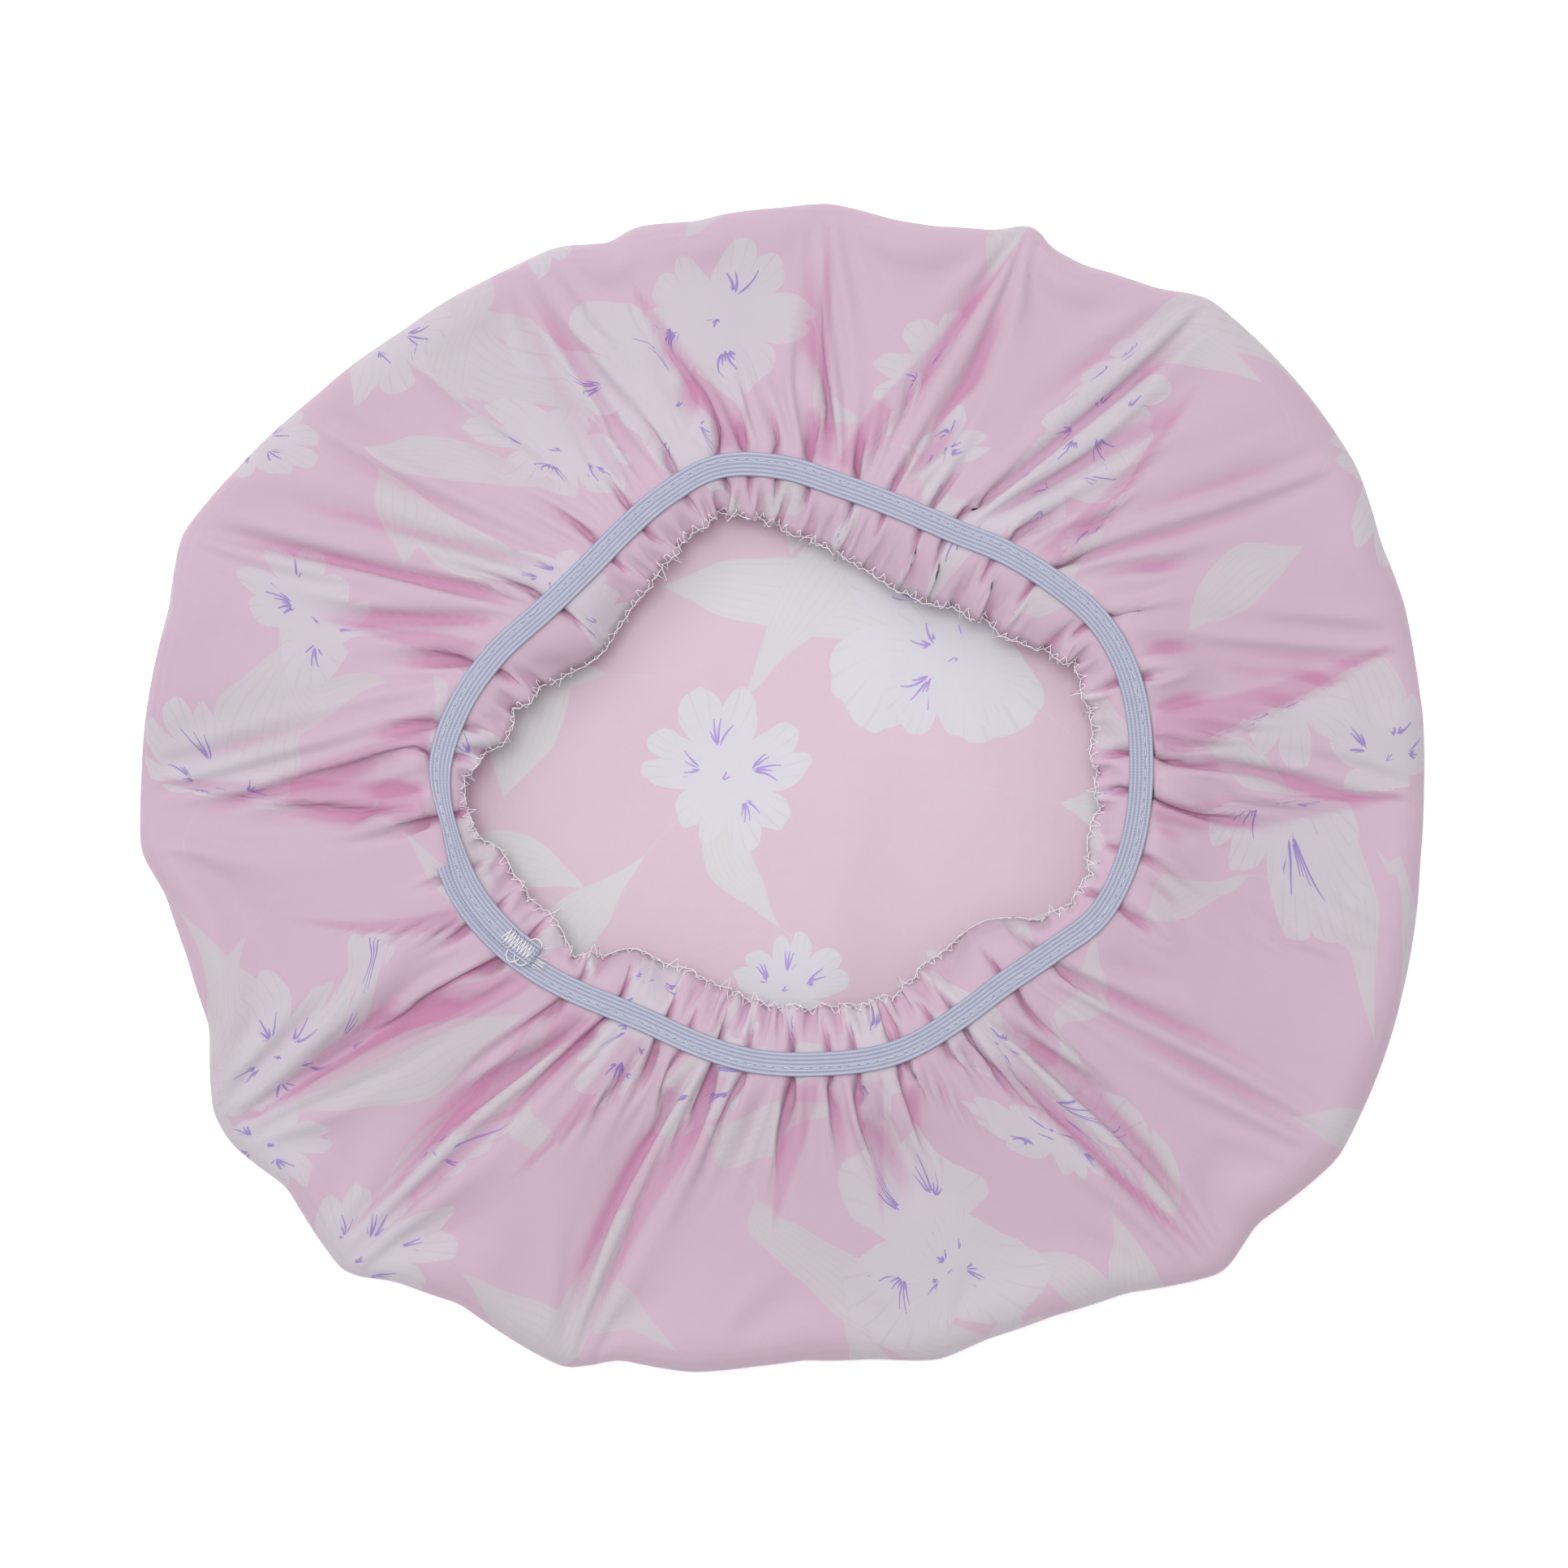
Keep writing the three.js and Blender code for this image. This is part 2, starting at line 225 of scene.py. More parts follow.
def smooth_cloth():
    """The cloth's rings without folds, and the zone of each ring."""
    ray = rays(column_degrees)
    outline = outline_points(column_degrees)
    band = band_points(column_degrees)
    inward = unit(band - outline)
    rings, zones = [], []

    def ring(points, heights, zone):
        heights = np.broadcast_to(heights, COLUMNS)
        rings.append(np.column_stack([points, heights]))
        zones.append(zone)

    for k in range(CROWN_RINGS):
        share = CROWN_EDGE_SHARE + (1 - CROWN_EDGE_SHARE) * k / CROWN_RINGS
        ring((outline - ROLL_RADIUS * ray) * share, CROWN_HEIGHT, CROWN)

    reach = ROLL_RADIUS * roll_fullness() - CROWN_HEIGHT
    for k in range(ROLL_RINGS):
        angle = math.pi * k / (ROLL_RINGS - 1)
        turned = smooth_ramp(angle, *ROLL_TURN)
        way_in = unit(inward * turned - ray * (1 - turned))
        inset = CROWN_HEIGHT + reach * (1 - math.sin(angle))
        height = CROWN_HEIGHT + reach * (1 - math.cos(angle))
        ring(outline + way_in * inset[:, None], height, ROLL)

    roll_top = rings[-1]
    seat = band_underside(column_degrees) - 2 * SEAT_GAP
    half = BAND_WIDTH / 2 + SEAT_MARGIN
    band_outer = np.column_stack([band - inward * half, seat])
    for k in range(1, BRIM_RINGS):
        share = k / BRIM_RINGS
        flat = roll_top * (1 - share) + band_outer * share
        ring(flat[:, :2], flat[:, 2] - BRIM_SAG * math.sin(math.pi * share), BRIM)
    for side in (-1, 0, 1):
        ring(band + inward * half * side, seat, UNDER_BAND)
    width = ruffle_millimetres(column_degrees) * MM
    for k in range(1, RUFFLE_RINGS + 1):
        reached = width * k / RUFFLE_RINGS
        ring(band + inward * (half + reached)[:, None], seat - RUFFLE_SLOPE * reached, RUFFLE)
    return np.array(rings), np.array(zones)


def along_brim(zones):
    """0 at the roll, 1 at the elastic, for each ring."""
    along = np.zeros(len(zones))
    brim = np.flatnonzero(zones == BRIM)
    along[brim] = np.arange(1, BRIM_RINGS) / BRIM_RINGS
    along[zones >= UNDER_BAND] = 1
    return along


# Small gathers fill the gaps between the folds at the elastic: close together above and below,
# wider at the left and right
GATHER_PITCH = 7.5 * MM
LOOSE_PITCH = 17 * MM
FOLD_CLOTH = 6.0 * MM  # cloth that a fold of strength 1 takes up at the elastic
RIDGE_CLOTH = 1.3 * MM
GATHER_STRAY = 0.2  # of the pitch
GATHER_STARTS, GATHER_STRENGTHS = (0.5, 0.82), (0.55, 0.95)
FOLD_WIDTH, FOLD_WIDENING = 0.7, 1.0  # millimetres at the elastic, and how much wider at the roll
FOLD_OPENING, RIDGE_SWELLING = 1.5, 0.7  # powers by which they grow along the brim
PILLOW, PILLOW_REACH = 0.9 * MM, 9 * MM  # how high panels swell, and how far from a fold
RUFFLE_SHARE = 0.32  # of a fold's cloth, beyond the elastic
EASE, RUFFLE_EASE = 0.006, 0.06  # cloth to spare between the folds
# A ring's cloth is spread more evenly towards the elastic: how far, and from where to where
EVENED, EVENED_FROM, EVENED_TO = 0.5, 0.1, 0.9


def brim_folds(rng):
    """Every fold as a row like those of FOLDS, sorted by its angle at the elastic."""
    rows = list(FOLDS)
    held = sorted((row for row in FOLDS if row[3] > 0), key=lambda row: row[1])
    for here, after in zip(held, held[1:] + held[:1]):
        gap = (after[1] - here[1]) % 360
        middle = here[1] + gap / 2
        sideways = abs(math.cos(math.radians(middle))) ** 2
        pitch = GATHER_PITCH + (LOOSE_PITCH - GATHER_PITCH) * sideways
        arc = math.radians(gap) * BAND_RADIUS * float(band_share(np.array(middle)))
        count = max(1, round(arc / pitch))
        for k in range(1, count):
            angle = here[1] + gap * (k + rng.uniform(-GATHER_STRAY, GATHER_STRAY)) / count
            start, strength = rng.uniform(*GATHER_STARTS), rng.uniform(*GATHER_STRENGTHS)
            rows.append((angle, angle, start, strength))
    return np.array(sorted(rows, key=lambda row: row[1] % 360))


def fold_places(folds, share, points):
    """At a share of the way along the brim: how far each column is from each fold, how much
    cloth each fold takes up, and its width."""
    radius = np.linalg.norm(points[:, :2], axis=1).mean()
    at_roll, at_band, start, strength = folds.T
    angle = at_roll + degrees_between(at_band, at_roll) * share
    arc = np.radians(degrees_between(column_degrees[:, None], angle)) * radius
    opened = np.clip((share - start) / (1 - start), 0, 1)
    taken = FOLD_CLOTH * strength * opened**FOLD_OPENING
    ridge = -RIDGE_CLOTH * strength * math.sin(math.pi * share) ** RIDGE_SWELLING
    taken = np.where(strength < 0, ridge, taken)
    width = (FOLD_WIDTH + FOLD_WIDENING * (1 - share)) * MM
    return arc, taken, width


def first_folds(smooth, zones, along, folds):
    """The folds pressed into the smooth cloth, which the gathering then settles."""
    folded = smooth.copy()
    ridge = folds[:, 3] < 0
    for i in np.flatnonzero(zones >= BRIM):
        arc, taken, width = fold_places(folds, along[i], smooth[i])
        taken = taken * (RUFFLE_SHARE if zones[i] == RUFFLE else 1)
        shape = bell(arc, width) * 0.5 * taken
        down = np.where(ridge, 0, shape).max(axis=1)
        up = np.where(ridge, shape, 0).max(axis=1)
        nearest = np.where(ridge, 1, np.abs(arc)).min(axis=1)
        pillow = PILLOW * smooth_ramp(nearest, 0, PILLOW_REACH)
        folded[i, :, 2] += up + pillow - down
    return folded


def fold_lengths(smooth, zones, along, folds):
    """The cloth's own length from column to column, with what each fold takes up at its line."""
    step = np.linalg.norm(np.roll(smooth, -1, axis=1) - smooth, axis=2)
    shared = EVENED * smooth_ramp(along, EVENED_FROM, EVENED_TO)[:, None]
    lengths = step * (1 - shared) + step.mean(axis=1, keepdims=True) * shared
    for i in np.flatnonzero(zones >= BRIM):
        arc, taken, width = fold_places(folds, along[i], smooth[i])
        weight = bell(arc, width)
        weight /= weight.sum(axis=0)
        ease = EASE * min(3 * along[i], 1)
        if zones[i] == RUFFLE:
            taken = taken * RUFFLE_SHARE
            ease = RUFFLE_EASE * (i - np.flatnonzero(zones == RUFFLE)[0] + 1) / RUFFLE_RINGS
        lengths[i] = lengths[i] * (1 + ease) + (weight * taken).sum(axis=1)
    return lengths


# Gathering: springs along the rings, across them and aslant hold the cloth's own lengths, and
# weaker ones over two steps resist bending. Each pass moves points that share no spring.
GATHER_PASSES = 600
PANEL_BEND, FOLD_BEND, OUTWARD_BEND, SLANT_HOLD = 0.22, 0.02, 0.3, 0.3
KEEP_SPEED = 0.95
SAG_STEP = 0.0002 * MM
FIRST_CRUMPLE = 0.02 * MM
CROWN_PULL, ROLL_PULLS = 0.2, (0.12, 0.04)  # to the smooth cloth, from the roll's foot to its top
LOWEST_FOLD = 2.5 * MM  # above the surface that the cap lies on
HEADROOMS = (2, 1.5, 2, 0.3, 1)  # millimetres that each zone may rise above the smooth cloth


def spring(points, loose, first, second, rest, hold):
    """Moves both ends of each spring towards its rest length. first and second index the grid."""
    gap = points[second] - points[first]
    length = np.sqrt(np.einsum("ijk,ijk->ij", gap, gap))[..., None]
    a, b = loose[first], loose[second]
    push = hold * (length - rest[..., None]) / (length + 1e-9) * gap / (a + b + 1e-9)
    points[first] += push * a
    points[second] -= push * b


def panel_stiffness(smooth, zones, along, folds):
    """How strongly each point resists bending along its ring: weakly at a fold's line."""
    stiffness = np.full(smooth.shape[:2], PANEL_BEND)
    for i in np.flatnonzero(zones >= BRIM):
        arc, taken, width = fold_places(folds, along[i], smooth[i])
        near = bell(arc, width) * np.clip(taken / MM, 0, 1)
        stiffness[i] += (FOLD_BEND - PANEL_BEND) * near.max(axis=1)
    return stiffness[..., None]


def gather_cloth(smooth, folded, around, stiffness, zones, rng):
    """Lets the folded cloth settle with its own lengths between the crown and the elastic."""
    rings = len(zones)
    outward = np.linalg.norm(smooth[1:] - smooth[:-1], axis=2)
    slant = np.hypot((around[1:] + around[:-1]) / 2, outward)

    ring, column = np.arange(rings)[:, None], np.arange(COLUMNS)[None, :]
    springs = []
    for odd in (0, 1):
        here = column[:, odd::2]
        after = (here + 1) % COLUMNS
        springs.append(((ring, here), (ring, after), around[ring, here], 1))
    for odd in (0, 1):
        here = ring[odd : rings - 1 : 2]
        after = (column + 1) % COLUMNS
        springs.append(((here, column), (here + 1, column), outward[here, column], 1))
        springs.append(((here, column), (here + 1, after), slant[here, column], SLANT_HOLD))
        springs.append(((here, after), (here + 1, column), slant[here, column], SLANT_HOLD))
    for start in (0, 2):
        here = column[:, (column[0] % 4 == start) | (column[0] % 4 == start + 1)]
        after = (here + 2) % COLUMNS
        bend = stiffness[ring, (here + 1) % COLUMNS].astype(np.float32)
        springs.append(((ring, here), (ring, after), 2 * around[ring, here], bend))
        inner = ring[: rings - 2]
        here = inner[(inner[:, 0] % 4 == start) | (inner[:, 0] % 4 == start + 1)]
        rest = outward[here, column] + outward[here + 1, column]
        springs.append(((here, column), (here + 2, column), rest, OUTWARD_BEND))
    springs = [(a, b, rest.astype(np.float32), hold) for a, b, rest, hold in springs]

    held = (zones == UNDER_BAND) | (np.arange(rings) < 2)
    loose = np.ones((rings, COLUMNS, 1), np.float32)
    loose[held] = 0
    pull = np.zeros((rings, 1, 1), np.float32)
    pull[zones == CROWN] = CROWN_PULL
    pull[zones == ROLL] = np.linspace(*ROLL_PULLS, ROLL_RINGS)[:, None, None]
    lowest = np.where(zones >= BRIM, LOWEST_FOLD, CROWN_HEIGHT)[:, None]
    highest = smooth[:, :, 2] + np.array(HEADROOMS)[zones][:, None] * MM

    target = smooth.astype(np.float32)
    points = (folded + rng.normal(0, FIRST_CRUMPLE, folded.shape)).astype(np.float32)
    points[held] = folded[held]
    before = points.copy()
    for _ in range(GATHER_PASSES):
        moved = points + (points - before) * KEEP_SPEED * loose
        moved[:, :, 2] -= SAG_STEP * loose[:, :, 0]
        before, points = points, moved
        points += (target - points) * pull * loose
        for first, second, rest, hold in springs:
            spring(points, loose, first, second, rest, hold)
        np.clip(points[:, :, 2], lowest, highest, out=points[:, :, 2])
    return points.astype(float)


def cloth_beside(heights):
    """The mean height of the cloth on both sides of each point, along its ring."""
    return np.mean([np.roll(heights, k, axis=-1) for k in range(-BESIDE, BESIDE + 1)], axis=0)


CLOSING = 0.5  # how far a fold's two sides are drawn together
CLOSING_REACH = 1.5  # of the fold's width
LEAN = 0.3  # how far a fold tips to one side, as a share of its depth


def close_folds(smooth, points, zones, along, folds, rng):
    """Draws the two sides of each fold together and tips it over to one side."""
    closed = points.copy()
    sides = np.where(rng.random(len(folds)) < 0.5, -LEAN, LEAN)
    forward = unit((np.roll(smooth, -1, axis=1) - np.roll(smooth, 1, axis=1))[:, :, :2])
    for i in np.flatnonzero(zones >= BRIM):
        arc, taken, width = fold_places(folds, along[i], smooth[i])
        near = bell(arc, CLOSING_REACH * width) * np.clip(taken / FOLD_CLOTH, 0, 1)
        near /= np.maximum(near.sum(axis=1, keepdims=True), 1)  # where folds lie close together
        pull = (-CLOSING * arc * near).sum(axis=1)
        beside = cloth_beside(points[i, :, 2])
        tip = (near * sides).sum(axis=1) * (points[i, :, 2] - beside)
        closed[i, :, :2] += forward[i] * (pull + tip)[:, None]
    return closed


# Loose cloth that puffs up at the left and right and laps over the elastic's outer edge: degrees
# at the elastic, half the puff's width, how far it rises and how far it laps over
PUFFS = [
    (347, 7 * MM, 1.8 * MM, 1.2 * MM), (355.5, 6.5 * MM, 3.2 * MM, 2.4 * MM),
    (5, 6 * MM, 2.6 * MM, 2.2 * MM), (13.5, 5.5 * MM, 3 * MM, 1.8 * MM),
    (22, 6 * MM, 1.9 * MM, 1.3 * MM), (169.5, 6 * MM, 2 * MM, 1.4 * MM),
    (179, 6 * MM, 2.8 * MM, 2 * MM), (187, 4.5 * MM, 2.4 * MM, 1.8 * MM),
    (200, 6 * MM, 1.8 * MM, 1 * MM),
]
PUFF_START, PUFF_PEAK, PUFF_END = 0.7, 0.93, 1.06  # shares of the way along the brim


def puff_up(smooth, points, zones, along):
    """Raises the loose puffs beside the elastic and laps them over its edge."""
    puffed = points.copy()
    for i in np.flatnonzero(zones == BRIM):
        share = along[i]
        swell = smooth_ramp(share, PUFF_START, PUFF_PEAK)
        swell *= 1 - smooth_ramp(share, PUFF_PEAK, PUFF_END)
        inward = unit(smooth[-1, :, :2] - smooth[i, :, :2])
        radius = np.linalg.norm(smooth[i, :, :2], axis=1).mean()
        for degrees, half, rise, lap in PUFFS:
            arc = np.radians(degrees_between(column_degrees, degrees)) * radius
            bump = swell * np.cos(np.clip(arc / half, -1, 1) * math.pi / 2)
            puffed[i, :, 2] += rise * bump
            puffed[i, :, :2] += inward * (lap * bump)[:, None]
    return puffed


BREAK_WIDTH = 0.7 * MM  # over which a fold takes up its cloth
LONG_START = 0.2  # a fold that starts nearer to the roll than this divides the brim into panels


def cut_places(smooth, points, zones, along, folds):
    """Where each point lay on the flat round before it was sewn. The cloth that a fold takes up
    is skipped at its line, so the print is broken there and whole in between."""
    step = np.linalg.norm(smooth[1:] - smooth[:-1], axis=2)
    start = np.linalg.norm(smooth[:1, :, :2], axis=2)
    radius = np.concatenate([start, step]).cumsum(axis=0)
    long_folds = folds[(folds[:, 2] < LONG_START) & (folds[:, 3] > 0)]
    places = np.zeros(points.shape)
    for i in range(len(zones)):
        shown = np.linalg.norm(np.roll(points[i], -1, axis=0) - points[i], axis=1)
        reach = radius[i].mean()
        arc, taken, _ = fold_places(folds, along[i], smooth[i])
        taken = np.maximum(taken, 0) * (zones[i] >= ROLL)
        hidden = (taken * bell(arc, BREAK_WIDTH)).sum(axis=1) + 1e-6
        spare = max(reach * TURN - shown.sum(), 0)
        length = shown + hidden * spare / hidden.sum()
        degrees = np.concatenate([[0], length.cumsum()[:-1]]) / length.sum() * 360
        lines = long_folds[:, 0] + degrees_between(long_folds[:, 1], long_folds[:, 0]) * along[i]
        lines = np.sort(lines % 360)
        middles = np.sort((lines + np.append(lines[1:], lines[0] + 360)) / 2 % 360)
        drift = np.interp(middles, np.append(column_degrees, 360), np.append(degrees, 360))
        degrees = degrees - np.interp(column_degrees, middles, drift - middles, period=360)
        places[i, :, :2] = radius[i][:, None] * rays(degrees)
    return places


# Painted shade: the colour is drawn a deeper pink down in the folds, and in a wedge beside a main
# fold where the cloth lies double. The wedge widens towards the elastic.
SHALLOW, DEEP = 0.3 * MM, 1.6 * MM
SHADE_START, SHADE_FULL = 0.02, 0.3  # shares of the way along the brim
VALLEY_SHADE, TUCK_SHADE = 0.8, 0.5
TUCK_WIDTH = 9 * MM  # of the widest, at the elastic
NARROWEST_SHARE = 0.5
TUCK_OPENING = 0.7  # power by which it widens with its fold
TUCK_EDGE = 0.6 * MM
TUCK_START = 0.45  # a main fold starts nearer to the roll than this


def valley_depths(points, along):
    """How far each point lies below the cloth on its two sides: 0 on a crest, 1 in a deep fold."""
    height = points[:, :, 2]
    depth = smooth_ramp(cloth_beside(height) - height, SHALLOW, DEEP)
    return depth * smooth_ramp(along, SHADE_START, SHADE_FULL)[:, None]


def wedge_shade_shares(smooth, zones, along, folds):
    """Painted shade: 1 in a wedge beside one of the main folds, where the cloth lies double."""
    rng = np.random.default_rng(TUCK_SEED)
    main = folds[(folds[:, 2] < TUCK_START) & (folds[:, 3] > 0)]
    sides = np.where(rng.random(len(main)) < 0.5, -1, 1)
    widths = TUCK_WIDTH * rng.uniform(NARROWEST_SHARE, 1, len(main))
    wedge_shade = np.zeros(smooth.shape[:2])
    for i in np.flatnonzero(zones == BRIM):
        arc, taken, _ = fold_places(main, along[i], smooth[i])
        across = arc * sides
        wide = widths * np.clip(taken / FOLD_CLOTH, 0, 1) ** TUCK_OPENING
        inside = smooth_ramp(across, -TUCK_EDGE, 0)
        inside = inside * (1 - smooth_ramp(across, wide - TUCK_EDGE, wide + TUCK_EDGE))
        wedge_shade[i] = (inside * np.clip(wide / (2 * TUCK_EDGE), 0, 1)).max(axis=1)
    return wedge_shade


CREASES = [  # a point on each, its direction in degrees, its height and its width
    (12 * MM, -24 * MM, 82, 1.3 * MM, 6 * MM),
    (-34 * MM, 18 * MM, 38, 1.1 * MM, 8 * MM),
    (40 * MM, 6 * MM, 118, 1.2 * MM, 9 * MM),
]
CREASE_REACH = 38 * MM
SWELL, SWELL_LENGTHS = 0.35 * MM, (21 * MM, 33 * MM, 26 * MM)
SWELL_WANDER, SWELL_SHIFT = 1.1, 0.7  # radians
FLAT_FROM, CREASED_TO = 128 * MM, 96 * MM  # radii between which the crown flattens out


def crown_height(points):
    """The crown lies on its surface with a few soft creases, from points in the plane."""
    x, y = points[:, 0], points[:, 1]
    height = np.full(len(points), CROWN_HEIGHT)
    for cx, cy, degrees, rise, width in CREASES:
        way = rays(np.array(degrees, float))
        across = (x - cx) * -way[1] + (y - cy) * way[0]
        along = (x - cx) * way[0] + (y - cy) * way[1]
        fade = bell(along, CREASE_REACH)
        height += rise * fade * bell(across, width)
    first, second, third = SWELL_LENGTHS
    swell = np.sin(x / first + SWELL_WANDER * np.sin(y / second))
    height += SWELL * (1 + swell * np.sin(y / third + SWELL_SHIFT))
    return height


CROWN_MIDDLE = [  # rings inside the grid: share of the first ring's radius, columns
    (0.955, 320), (0.9, 320), (0.84, 320), (0.775, 160), (0.71, 160), (0.64, 160), (0.57, 160),
    (0.5, 160), (0.43, 80), (0.36, 80), (0.29, 80), (0.22, 40), (0.15, 40), (0.08, 20),
]


def cloth_mesh(points, places, depths):
    """Joins the grid and the middle of the crown into one sheet."""
    rings = len(points)
    corners = list(points.reshape(-1, 3))
    cut = list(places.reshape(-1, 3))
    deep = list(depths.reshape(-1))
    faces = []
    for i in range(rings - 1):
        for j in range(COLUMNS):
            k = (j + 1) % COLUMNS
            row, above = i * COLUMNS, (i + 1) * COLUMNS
            faces.append((row + j, row + k, above + k, above + j))

    outer, first = COLUMNS, 0
    for share, columns in CROWN_MIDDLE:
        ring = points[0, :: COLUMNS // columns] * share
        start = len(corners)
        corners += list(ring)
        cut += list(places[0, :: COLUMNS // columns] * share)
        deep += [0] * columns
        stride = outer // columns
        for j in range(columns):
            k = (j + 1) % columns
            rim = [first + (j * stride + s) % outer for s in range(stride + 1)]
            faces.append((start + j, start + k, *reversed(rim)))
        outer, first = columns, start
    corners.append(np.zeros(3))
    cut.append(np.zeros(3))
    deep.append(0)
    for j in range(outer):
        faces.append((len(corners) - 1, first + (j + 1) % outer, first + j))

    corners = np.array(corners)
    flat = np.ones(len(corners), bool)
    flat[CROWN_RINGS * COLUMNS : rings * COLUMNS] = False
    rise = crown_height(corners) - CROWN_HEIGHT
    inside = smooth_ramp(np.linalg.norm(corners[:, :2], axis=1), FLAT_FROM, CREASED_TO)
    corners[flat, 2] = CROWN_HEIGHT + (rise * inside)[flat]

    mesh = bpy.data.meshes.new("gathered_cloth")
    mesh.from_pydata(corners.tolist(), [], faces)
    # Each point also carries how much painted shade its colour takes in the folds
    for name, kind, field, values in (
        ("cut_place", "FLOAT_VECTOR", "vector", cut), ("fold_shade", "FLOAT", "value", deep),
    ):
        mesh.attributes.new(name, kind, "POINT")
        mesh.attributes[name].data.foreach_set(field, np.array(values, np.float32).ravel())
    return mesh


def add_object(name, data):
    thing = bpy.data.objects.new(name, data)
    bpy.context.scene.collection.objects.link(thing)
    return thing


def add_piece(name, mesh, replaced):
    """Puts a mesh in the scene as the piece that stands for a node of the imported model."""
    piece = add_object(name, mesh)
    for polygon in mesh.polygons:
        polygon.use_smooth = True
    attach(piece, "root")
    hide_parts(replaced)
    return piece


THREAD_END_SHARE = 0.55  # how thick a thread's ends are, as a share of the rest
UPRIGHT = 0.05  # how level a thread must run to take its sideways direction from that


def join_rows(builder, rows, closed=False):
    """Faces between rows of corners that each go round a section, and over the first and last."""
    pairs = list(zip(rows, rows[1:]))
    if closed:
        pairs.append((rows[-1], rows[0]))
    for low, high in pairs:
        for k in range(len(low)):
            after = (k + 1) % len(low)
            builder.faces.new((low[k], low[after], high[after], high[k]))
    if not closed:
        builder.faces.new(list(reversed(rows[0])))
        builder.faces.new(rows[-1])


def tube(builder, path, radius, sides=6, closed=False):
    """Adds a round thread along a path to a mesh that is being built, with rounded ends."""
    path = np.asarray(path, float)
    if closed:
        forward = unit(np.roll(path, -1, axis=0) - np.roll(path, 1, axis=0))
    else:
        forward = unit(np.gradient(path, axis=0))
    side = np.cross((0, 0, 1.0), forward)
    side[np.linalg.norm(side, axis=1) < UPRIGHT] = (1, 0, 0)
    side = unit(side)
    top = unit(np.cross(forward, side))
    radii = np.full(len(path), radius)
    if not closed:
        radii[[0, -1]] *= THREAD_END_SHARE
    angle = np.arange(sides) * TURN / sides
    ring = np.cos(angle)[None, :, None] * side[:, None] + np.sin(angle)[None, :, None] * top[:, None]
    points = path[:, None] + ring * radii[:, None, None]
    rows = [[builder.verts.new(point) for point in row] for row in points]
    join_rows(builder, rows, closed)


def finished_mesh(builder, name):
    mesh = bpy.data.meshes.new(name)
    builder.normal_update()
    builder.to_mesh(mesh)
    builder.free()
    return mesh


# Where the elastic lies: the middle of its underside and the level direction out across it
START_ANGLE, END_ANGLE = LOWER_END, UPPER_END + 360


def band_places(degrees):
    degrees = np.asarray(degrees, float)
    climb = smooth_ramp(degrees, LOWER_END + 360 - CLIMB, LOWER_END + 360)
    under = 1 - smooth_ramp(degrees, UPPER_END, UPPER_END + CLIMB)
    forward = unit(band_points(degrees + 1) - band_points(degrees - 1))
    out = np.stack([forward[..., 1], -forward[..., 0]], axis=-1)
    middle = band_points(degrees) + out * (OVERLAP_SHIFT * (under - climb))[..., None]
    height = band_underside(degrees) + (BAND_THICKNESS + SEAT_GAP) * climb
    return middle, out, height


TWIST_ANGLE = 189 + 360  # where the elastic is pulled narrow and leans
TWIST_SPAN = 5
TWIST_NARROWING = 0.34
TWIST_LEAN = 0.22  # how far its inner edge lifts, as a share of its width


def on_band(degrees, across, height):
    """Points on the elastic, from the distance out across it and the height over its underside."""
    middle, out, base = band_places(degrees)
    twist = bell(np.asarray(degrees, float) - TWIST_ANGLE, TWIST_SPAN)
    across = np.broadcast_to(across, np.shape(degrees)) * (1 - TWIST_NARROWING * twist)
    lift = TWIST_LEAN * twist * np.maximum(BAND_WIDTH / 2 - across, 0)
    flat = middle + out * across[..., None]
    return np.concatenate([flat, (base + height + lift)[..., None]], axis=-1)


BAND_STEPS, RIDGE_STEPS = 460, 5
EDGE_ROUNDING, EDGE_HEIGHT = 0.25 * MM, 0.3 * MM
CORD_ROUNDNESS = 0.7  # power of the sine that shapes a cord's top


def elastic_mesh():
    """A flat braid with rounded cords along its top, and its two cut ends."""
    half = BAND_WIDTH / 2
    cord = BAND_WIDTH / BAND_RIDGES
    groove = BAND_THICKNESS - RIDGE_HEIGHT
    section = [(half - EDGE_ROUNDING, 0), (-half + EDGE_ROUNDING, 0), (-half, EDGE_HEIGHT)]
    for ridge in range(BAND_RIDGES):
        for step in range(RIDGE_STEPS):
            turned = step / RIDGE_STEPS
            top = groove + RIDGE_HEIGHT * math.sin(math.pi * turned) ** CORD_ROUNDNESS
            section.append((-half + cord * (ridge + turned), top))
    section += [(half, groove), (half, EDGE_HEIGHT)]
    degrees = np.linspace(START_ANGLE, END_ANGLE, BAND_STEPS + 1)
    builder = bmesh.new()
    along_layer = builder.verts.layers.float_vector.new("braid_place")
    middle = band_points(degrees)
    length = np.linalg.norm(np.diff(middle, axis=0), axis=1).cumsum()
    length = np.concatenate([[0], length])
    rows = [[] for _ in degrees]
    for across, height in section:
        for row, point, run in zip(rows, on_band(degrees, across, height), length):
            corner = builder.verts.new(point)
            corner[along_layer] = (run, across, height)
            row.append(corner)
    join_rows(builder, rows)
    return finished_mesh(builder, "elastic_braid")


# The seam along the elastic
SEAM_THREAD = 0.13 * MM  # radius
SEAM_START, SEAM_END = UPPER_END + 4, END_ANGLE - 5  # degrees
STITCH_PITCH = 2.3 * MM
STITCH_LENGTH = 1.9 * MM
LENGTH_SHARES = (0.85, 1.1)  # from stitch to stitch
SEAM_OFFSET, SEAM_STRAY, SEAM_SLANT = 0.9 * MM, 0.07 * MM, 0.05 * MM
STITCH_RISE, STITCH_DIP = 0.05 * MM, 0.3 * MM


def degrees_of(length):
    return math.degrees(length / BAND_RADIUS)


